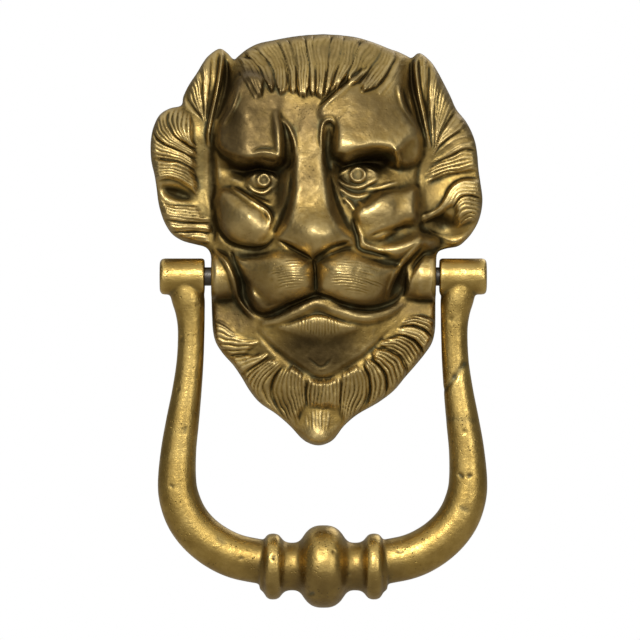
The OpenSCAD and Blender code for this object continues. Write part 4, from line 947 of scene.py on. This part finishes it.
def point_normals(p, quads):
    corners = np.array([q if len(q) == 4 else q + (q[-1],) for q in quads])
    flat = np.cross(p[corners[:, 1]] - p[corners[:, 0]], p[corners[:, 2]] - p[corners[:, 0]])
    normal = np.zeros_like(p)
    for c in range(4):
        for axis in range(3):
            normal[:, axis] += np.bincount(corners[:, c], flat[:, axis], len(p))
    return normal / (np.linalg.norm(normal, axis=1, keepdims=True) + 1e-12)


def build_bail(material):
    p, quads = one_skin(*joined(bail_parts()))
    edges = {(a, b) if a < b else (b, a) for q in quads for a, b in zip(q, (*q[1:], q[0]))}
    one, other = np.array(sorted(edges)).T
    degree = np.bincount(np.concatenate([one, other]), minlength=len(p))[:, None]

    def relax(values, steps, amount=0.6):
        """Each point moves towards the mean of its neighbours."""
        v = values.copy()
        for _ in range(steps):
            s = np.zeros_like(v)
            for c in range(v.shape[1]):
                s[:, c] = np.bincount(one, v[other, c], len(v)) + np.bincount(other, v[one, c], len(v))
            v += amount * (s / degree - v)
        return v

    # the steps of the voxels go, and the sharpness lost with them comes back
    p = relax(p, 4)
    p += (p - relax(p, 4)) * 0.6
    normal = point_normals(p, quads)
    green = np.zeros(len(p))
    for x, z, x2, z2, r, depth, mossy in FLAWS:
        along_x, along_z = x2 - x, z2 - z
        t = ((p[:, 0] - x) * along_x + (p[:, 2] - z) * along_z) / (along_x**2 + along_z**2)
        t = np.clip(t, 0, 1)
        off = (p[:, 0] - x - t * along_x) ** 2 + (p[:, 2] - z - t * along_z) ** 2
        near = np.exp(-off / r**2) * (p[:, 1] < PIVOT_Y + 3)
        p -= normal * (depth * near)[:, None]
        green += mossy * near
    # painted shade in the hollows: how far each point lies below its smoothed neighbours
    crease_shade = np.clip(((relax(p, 30) - p) * normal).sum(1) / 0.8, -1, 1)
    # stronger round the grip, towards its bottom and by the eyes, with painted shade from the hollows added
    grip = np.clip((-104 - p[:, 2]) / 12, 0, 1) * np.clip((34 - np.abs(p[:, 0])) / 8, 0, 1)
    under = np.clip((-118 - p[:, 2]) / 14, 0, 1)
    by_eyes = np.clip((18 + p[:, 2]) / 14, 0, 1)
    brown_and_painted_shade = np.clip(0.35 * grip + 0.5 * under + 0.8 * crease_shade + 0.25 * by_eyes, 0, 1)
    painted_light_and_patina = np.clip(0.35 * green, 0, 1)
    layers = dict(zip(LAYERS, (crease_shade * 0.5, crease_shade, np.zeros(len(p)), brown_and_painted_shade, np.clip(green, 0, 1), painted_light_and_patina)))
    return make_object("bail_casting", p, quads, "bail", ("bail",), material, layers)


# ---------------------------------------------------------------- materials
class Nodes:
    """Builds the node tree of a material or a world, one short call a node."""

    def __init__(self, owner):
        self.owner = owner
        owner.use_nodes = True
        self.tree = owner.node_tree
        self.tree.nodes.clear()

    def node(self, kind, inputs=None, **props):
        n = self.tree.nodes.new(kind)
        for key, value in props.items():
            setattr(n, key, value)
        for key, value in (inputs or {}).items():
            if isinstance(value, bpy.types.NodeSocket):
                self.tree.links.new(value, n.inputs[key])
            else:
                n.inputs[key].default_value = value
        return n

    def out(self, kind, inputs=None, **props):
        return self.node(kind, inputs, **props).outputs[0]

    def math(self, op, a, b, clamp=False):
        return self.out("ShaderNodeMath", {0: a, 1: b}, operation=op, use_clamp=clamp)

    def add(self, *values):
        total = values[0]
        for value in values[1:]:
            total = self.math("ADD", total, value)
        return total

    def times(self, a, b):
        return self.math("MULTIPLY", a, b)

    def span(self, value, low, high, to_low=0.0, to_high=1.0):
        """Maps low to to_low and high to to_high, held at the ends."""
        ends = {"From Min": low, "From Max": high, "To Min": to_low, "To Max": to_high}
        return self.out("ShaderNodeMapRange", {"Value": value, **ends})

    def mix(self, factor, a, b):
        """Colour a with as much of colour b as factor says."""
        a, b = (c if isinstance(c, bpy.types.NodeSocket) else (*c, 1.0) for c in (a, b))
        return self.node("ShaderNodeMix", {0: factor, 6: a, 7: b}, data_type="RGBA").outputs[2]

    def noise(self, where, scale, detail=2.0, rough=0.5):
        inputs = {"Vector": where, "Scale": scale, "Detail": detail, "Roughness": rough}
        return self.out("ShaderNodeTexNoise", inputs)

    def dots(self, where, scale):
        """Distance from the nearest of many scattered points."""
        inputs = {"Vector": where, "Scale": scale, "Randomness": 1.0}
        return self.out("ShaderNodeTexVoronoi", inputs, feature="F1")

    def stretched(self, where, scale, turn=(0, 0, 0)):
        turn = tuple(math.radians(t) for t in turn)
        return self.out("ShaderNodeMapping", {"Vector": where, "Scale": scale, "Rotation": turn})

    def layer(self, name):
        return self.node("ShaderNodeAttribute", attribute_name=name).outputs["Fac"]

    def place(self):
        return self.node("ShaderNodeTexCoord").outputs["Object"]

    def background_rays(self):
        """1 for the rays that see the white background: camera, glossy and transmission."""
        path = self.node("ShaderNodeLightPath").outputs
        seen = self.math("ADD", path["Is Camera Ray"], path["Is Glossy Ray"])
        return self.math("ADD", seen, path["Is Transmission Ray"], clamp=True)


def new_material(name):
    return Nodes(bpy.data.materials.new(name))


def metal(s, colour, metallic, rough, height, strength, distance):
    """Ends a material with a metal shader and a bump."""
    bump = s.out("ShaderNodeBump", {"Height": height, "Strength": strength, "Distance": distance})
    inputs = {"Base Color": colour, "Metallic": metallic, "Roughness": rough, "Normal": bump}
    s.node("ShaderNodeOutputMaterial", {0: s.out("ShaderNodeBsdfPrincipled", inputs)})
    return s.owner


def brass(name, bright, aged, shade_and_patina, wear, pitted):
    """Old brass: bright where worn, aged elsewhere, with painted shade and patina in the hollows."""
    s = new_material(name)
    where = s.place()
    fine, middle, deep, brown_and_painted_shade, mossy, painted_light_and_patina = (s.layer(key) for key in LAYERS)
    # how deep the surface lies: below 0 on crests, above it in hollows
    sunk = s.add(s.times(fine, 1.35), s.add(s.times(middle, 0.3), s.times(deep, 0.3)))
    cloud, speck = s.noise(where, 55, 5, 0.6), s.noise(where, 420, 4, 0.6)
    speckled = s.math("SUBTRACT", speck, 0.5)
    uneven = s.add(s.times(s.math("SUBTRACT", cloud, 0.5), 0.8), s.times(speckled, 0.5))
    # painted highlight where the painted light layer is below 0
    painted_highlight = s.times(s.math("MINIMUM", painted_light_and_patina, 0.0), 0.6)
    level = s.add(sunk, uneven, painted_highlight)
    colour = s.mix(s.span(level, -0.02, -0.55), aged, bright)
    # patina over it: a warmer tint, a stain that is partly painted shade, moss green, painted shade with
    # patina in the hollows, more from the painted light layer, and verdigris
    tint = s.noise(where, 120, 4, 0.6)
    tinted = (aged[0] * 0.55, aged[1] * 0.5, aged[2] * 0.42)
    colour = s.mix(s.span(tint, 0.42, 0.75, 0.0, 0.55), colour, tinted)
    brown_and_painted_shade = s.times(brown_and_painted_shade, s.span(s.math("SUBTRACT", tint, s.times(sunk, 0.6)), 0.2, 0.55, 0.5, 1.0))
    colour = s.mix(s.times(brown_and_painted_shade, 0.9), colour, (0.165, 0.112, 0.045))
    mossy = s.times(mossy, s.span(level, -0.35, 0.15))
    colour = s.mix(s.times(mossy, 0.9), colour, (0.2, 0.195, 0.11))
    # painted shade in the hollows, which also stands for their patina
    colour = s.mix(s.span(level, 0.14, 0.85), colour, shade_and_patina)
    # painted shade with some patina, from the painted light layer where it is above 0
    colour = s.mix(s.times(painted_light_and_patina, s.span(level, -0.5, 0.0, 0.25, 0.85)), colour, (0.042, 0.028, 0.011))
    green = s.times(s.span(s.noise(where, 80, 4, 0.6), 0.5, 0.64), s.span(level, 0.0, 0.4))
    colour = s.mix(s.times(green, 0.45), colour, (0.15, 0.14, 0.07))
    # large pits and small ones, each kind in clusters
    large = s.times(s.span(s.dots(where, 330.0), 0.16, 0.05), s.span(s.noise(where, 75, 2), 0.56, 0.66))
    small = s.times(s.span(s.dots(where, 760.0), 0.26, 0.1), s.span(s.noise(where, 110, 3), 0.5, 0.62))
    pit = s.times(s.math("MAXIMUM", large, small), pitted)
    colour = s.mix(s.times(pit, 0.8), colour, shade_and_patina)
    rough = s.add(s.span(level, -0.5, 0.7, wear, wear + 0.2), s.times(brown_and_painted_shade, 0.06), s.times(speckled, 0.25))
    scratch = s.noise(s.stretched(where, (1, 1, 14), (0, 34, 0)), 260, 2, 0.6)
    height = s.add(
        s.times(s.noise(where, 900, 3, 0.6), 0.6), s.times(scratch, 0.25),
        s.times(s.noise(where, 300, 3, 0.6), 1.1), s.times(cloud, 2.2),
    )
    return metal(s, colour, 1.0, rough, s.math("SUBTRACT", height, s.times(pit, 1.6)), 0.6, 0.00025)


def steel(name, colour, rough):
    """Turned steel with a little rust."""
    s = new_material(name)
    where = s.place()
    cloud = s.noise(where, 130, 4, 0.6)
    shade = s.mix(s.span(cloud, 0.35, 0.75), colour, tuple(c * 0.45 for c in colour))
    rust = s.span(s.noise(where, 260, 4, 0.65), 0.58, 0.72, 0.0, 0.7)
    shade = s.mix(rust, shade, (0.16, 0.085, 0.04))
    turning = s.noise(s.stretched(where, (30, 1, 1)), 300, 2, 0.5)
    roughness = s.span(cloud, 0.3, 0.8, rough - 0.08, rough + 0.14)
    metallic = s.span(rust, 0, 0.7, 1.0, 0.4)
    return metal(s, shade, metallic, roughness, s.add(s.times(turning, 0.6), cloud), 0.35, 0.0002)


# ---------------------------------------------------------------- the pieces
mask_brass = brass(
    "aged_brass_mask", bright=(0.60, 0.45, 0.19), aged=(0.405, 0.274, 0.08), shade_and_patina=(0.05, 0.034, 0.011),
    wear=0.35, pitted=0.4,
)
bail_brass = brass(
    "aged_brass_bail", bright=(0.66, 0.47, 0.155), aged=(0.42, 0.28, 0.075), shade_and_patina=(0.05, 0.032, 0.009),
    wear=0.27, pitted=0.9,
)
pin_steel = steel("dull_steel", (0.13, 0.12, 0.105), 0.42)
zinc = steel("zinc_steel", (0.52, 0.52, 0.51), 0.34)

mask = build_mask(mask_brass)
bail = build_bail(bail_brass)
finishes = {"left_pivot_pin": pin_steel, "right_pivot_pin": pin_steel}
for place in ("upper", "lower"):
    finishes.update({f"{place}_mount_{kind}": zinc for kind in ("stud", "washer", "nut")})
for name, material in finishes.items():
    slots = NODES[name].data.materials
    slots.clear()
    slots.append(material)


# ---------------------------------------------------------------- stage, light and camera, in metres
def sheet(name, size, place, turn=(0, 0, 0)):
    """A flat square, facing up before it is turned."""
    h = size / 2
    mesh = bpy.data.meshes.new(name)
    mesh.from_pydata([(-h, -h, 0), (h, -h, 0), (h, h, 0), (-h, h, 0)], [], [(0, 1, 2, 3)])
    obj = link(bpy.data.objects.new(name, mesh))
    obj.location = place
    obj.rotation_euler = tuple(math.radians(t) for t in turn)
    return obj


def card(name, place, turn, colour):
    """A grey card that gives the metal its contrast, seen only in reflections."""
    obj = sheet(name, CARD_SIZE, place, turn)
    s = new_material(name)
    glow = s.out("ShaderNodeEmission", {"Color": (*colour, 1.0), "Strength": 1.0})
    s.node("ShaderNodeOutputMaterial", {0: glow})
    obj.data.materials.append(s.owner)
    obj.visible_camera = obj.visible_diffuse = obj.visible_shadow = False


def lamp(name, place, size, power):
    """A square lamp aimed at the middle of the object."""
    data = bpy.data.lights.new(name, "AREA")
    data.shape = "SQUARE"
    data.size = size
    data.energy = power
    obj = link(bpy.data.objects.new(name, data))
    obj.location = place
    obj.rotation_euler = (-Vector(place)).to_track_quat("-Z", "Y").to_euler()


def build_floor():
    """A floor that is pale near the object and white where it meets the white surroundings."""
    floor = sheet("floor", 3.2, (0, 0, FLOOR_Z))
    s = new_material("pale_floor")
    away = s.node("ShaderNodeVectorMath", {0: s.place()}, operation="LENGTH").outputs["Value"]
    fade = s.times(s.background_rays(), s.span(away, 0.35, 1.3))
    matte = s.out("ShaderNodeBsdfDiffuse", {"Color": (0.86, 0.86, 0.86, 1)})
    white = s.out("ShaderNodeEmission", {"Color": (1, 1, 1, 1), "Strength": 1.0})
    s.node("ShaderNodeOutputMaterial", {0: s.out("ShaderNodeMixShader", {0: fade, 1: matte, 2: white})})
    floor.data.materials.append(s.owner)


def build_world():
    """White to the camera and in reflections, a softer warm light on the object."""
    world = bpy.data.worlds.new("studio")
    bpy.context.scene.world = world
    s = Nodes(world)
    light = s.out("ShaderNodeBackground", {0: (1, 0.985, 0.96, 1), 1: 0.45})
    white = s.out("ShaderNodeBackground", {0: (1, 1, 1, 1), 1: 1.0})
    mixed = s.out("ShaderNodeMixShader", {0: s.background_rays(), 1: light, 2: white})
    s.node("ShaderNodeOutputWorld", {0: mixed})


def build_camera():
    """Square on to the mask, far off, framing what the photograph does."""
    sensor, view_width, far = 36, 0.256, 3.0
    cam = bpy.data.cameras.new("camera")
    cam.sensor_width = sensor
    # the view is that wide in the plane of the pivot line
    cam.lens = sensor * (far - 0.019) / view_width
    cam.clip_end = 20
    obj = link(bpy.data.objects.new("camera", cam))
    obj.location = (-0.0014, -far, -0.0258)
    obj.rotation_euler = (math.radians(90), 0, 0)
    bpy.context.scene.camera = obj


build_floor()
build_world()
card("card_left", (-1.5, 0.4, 0), (0, 90, 0), (0.17, 0.165, 0.155))
card("card_right", (1.5, 0.4, 0), (0, 90, 0), (0.19, 0.185, 0.175))
card("card_behind", (0, 1.5, 0), (90, 0, 0), (0.3, 0.3, 0.29))
card("card_top", (0, 0.4, 1.5), (0, 0, 0), (0.72, 0.71, 0.69))
card("card_under", (0, 0.4, -0.28), (0, 0, 0), (0.4, 0.375, 0.33))
lamp("key", (-0.2, -1.5, 0.75), 0.5, 12)
lamp("fill", (0.9, -1.4, 0.3), 0.5, 3)
lamp("back", (0.5, 1.1, 0.9), 0.7, 2)
build_camera()
bpy.context.scene.view_settings.view_transform = "Standard"
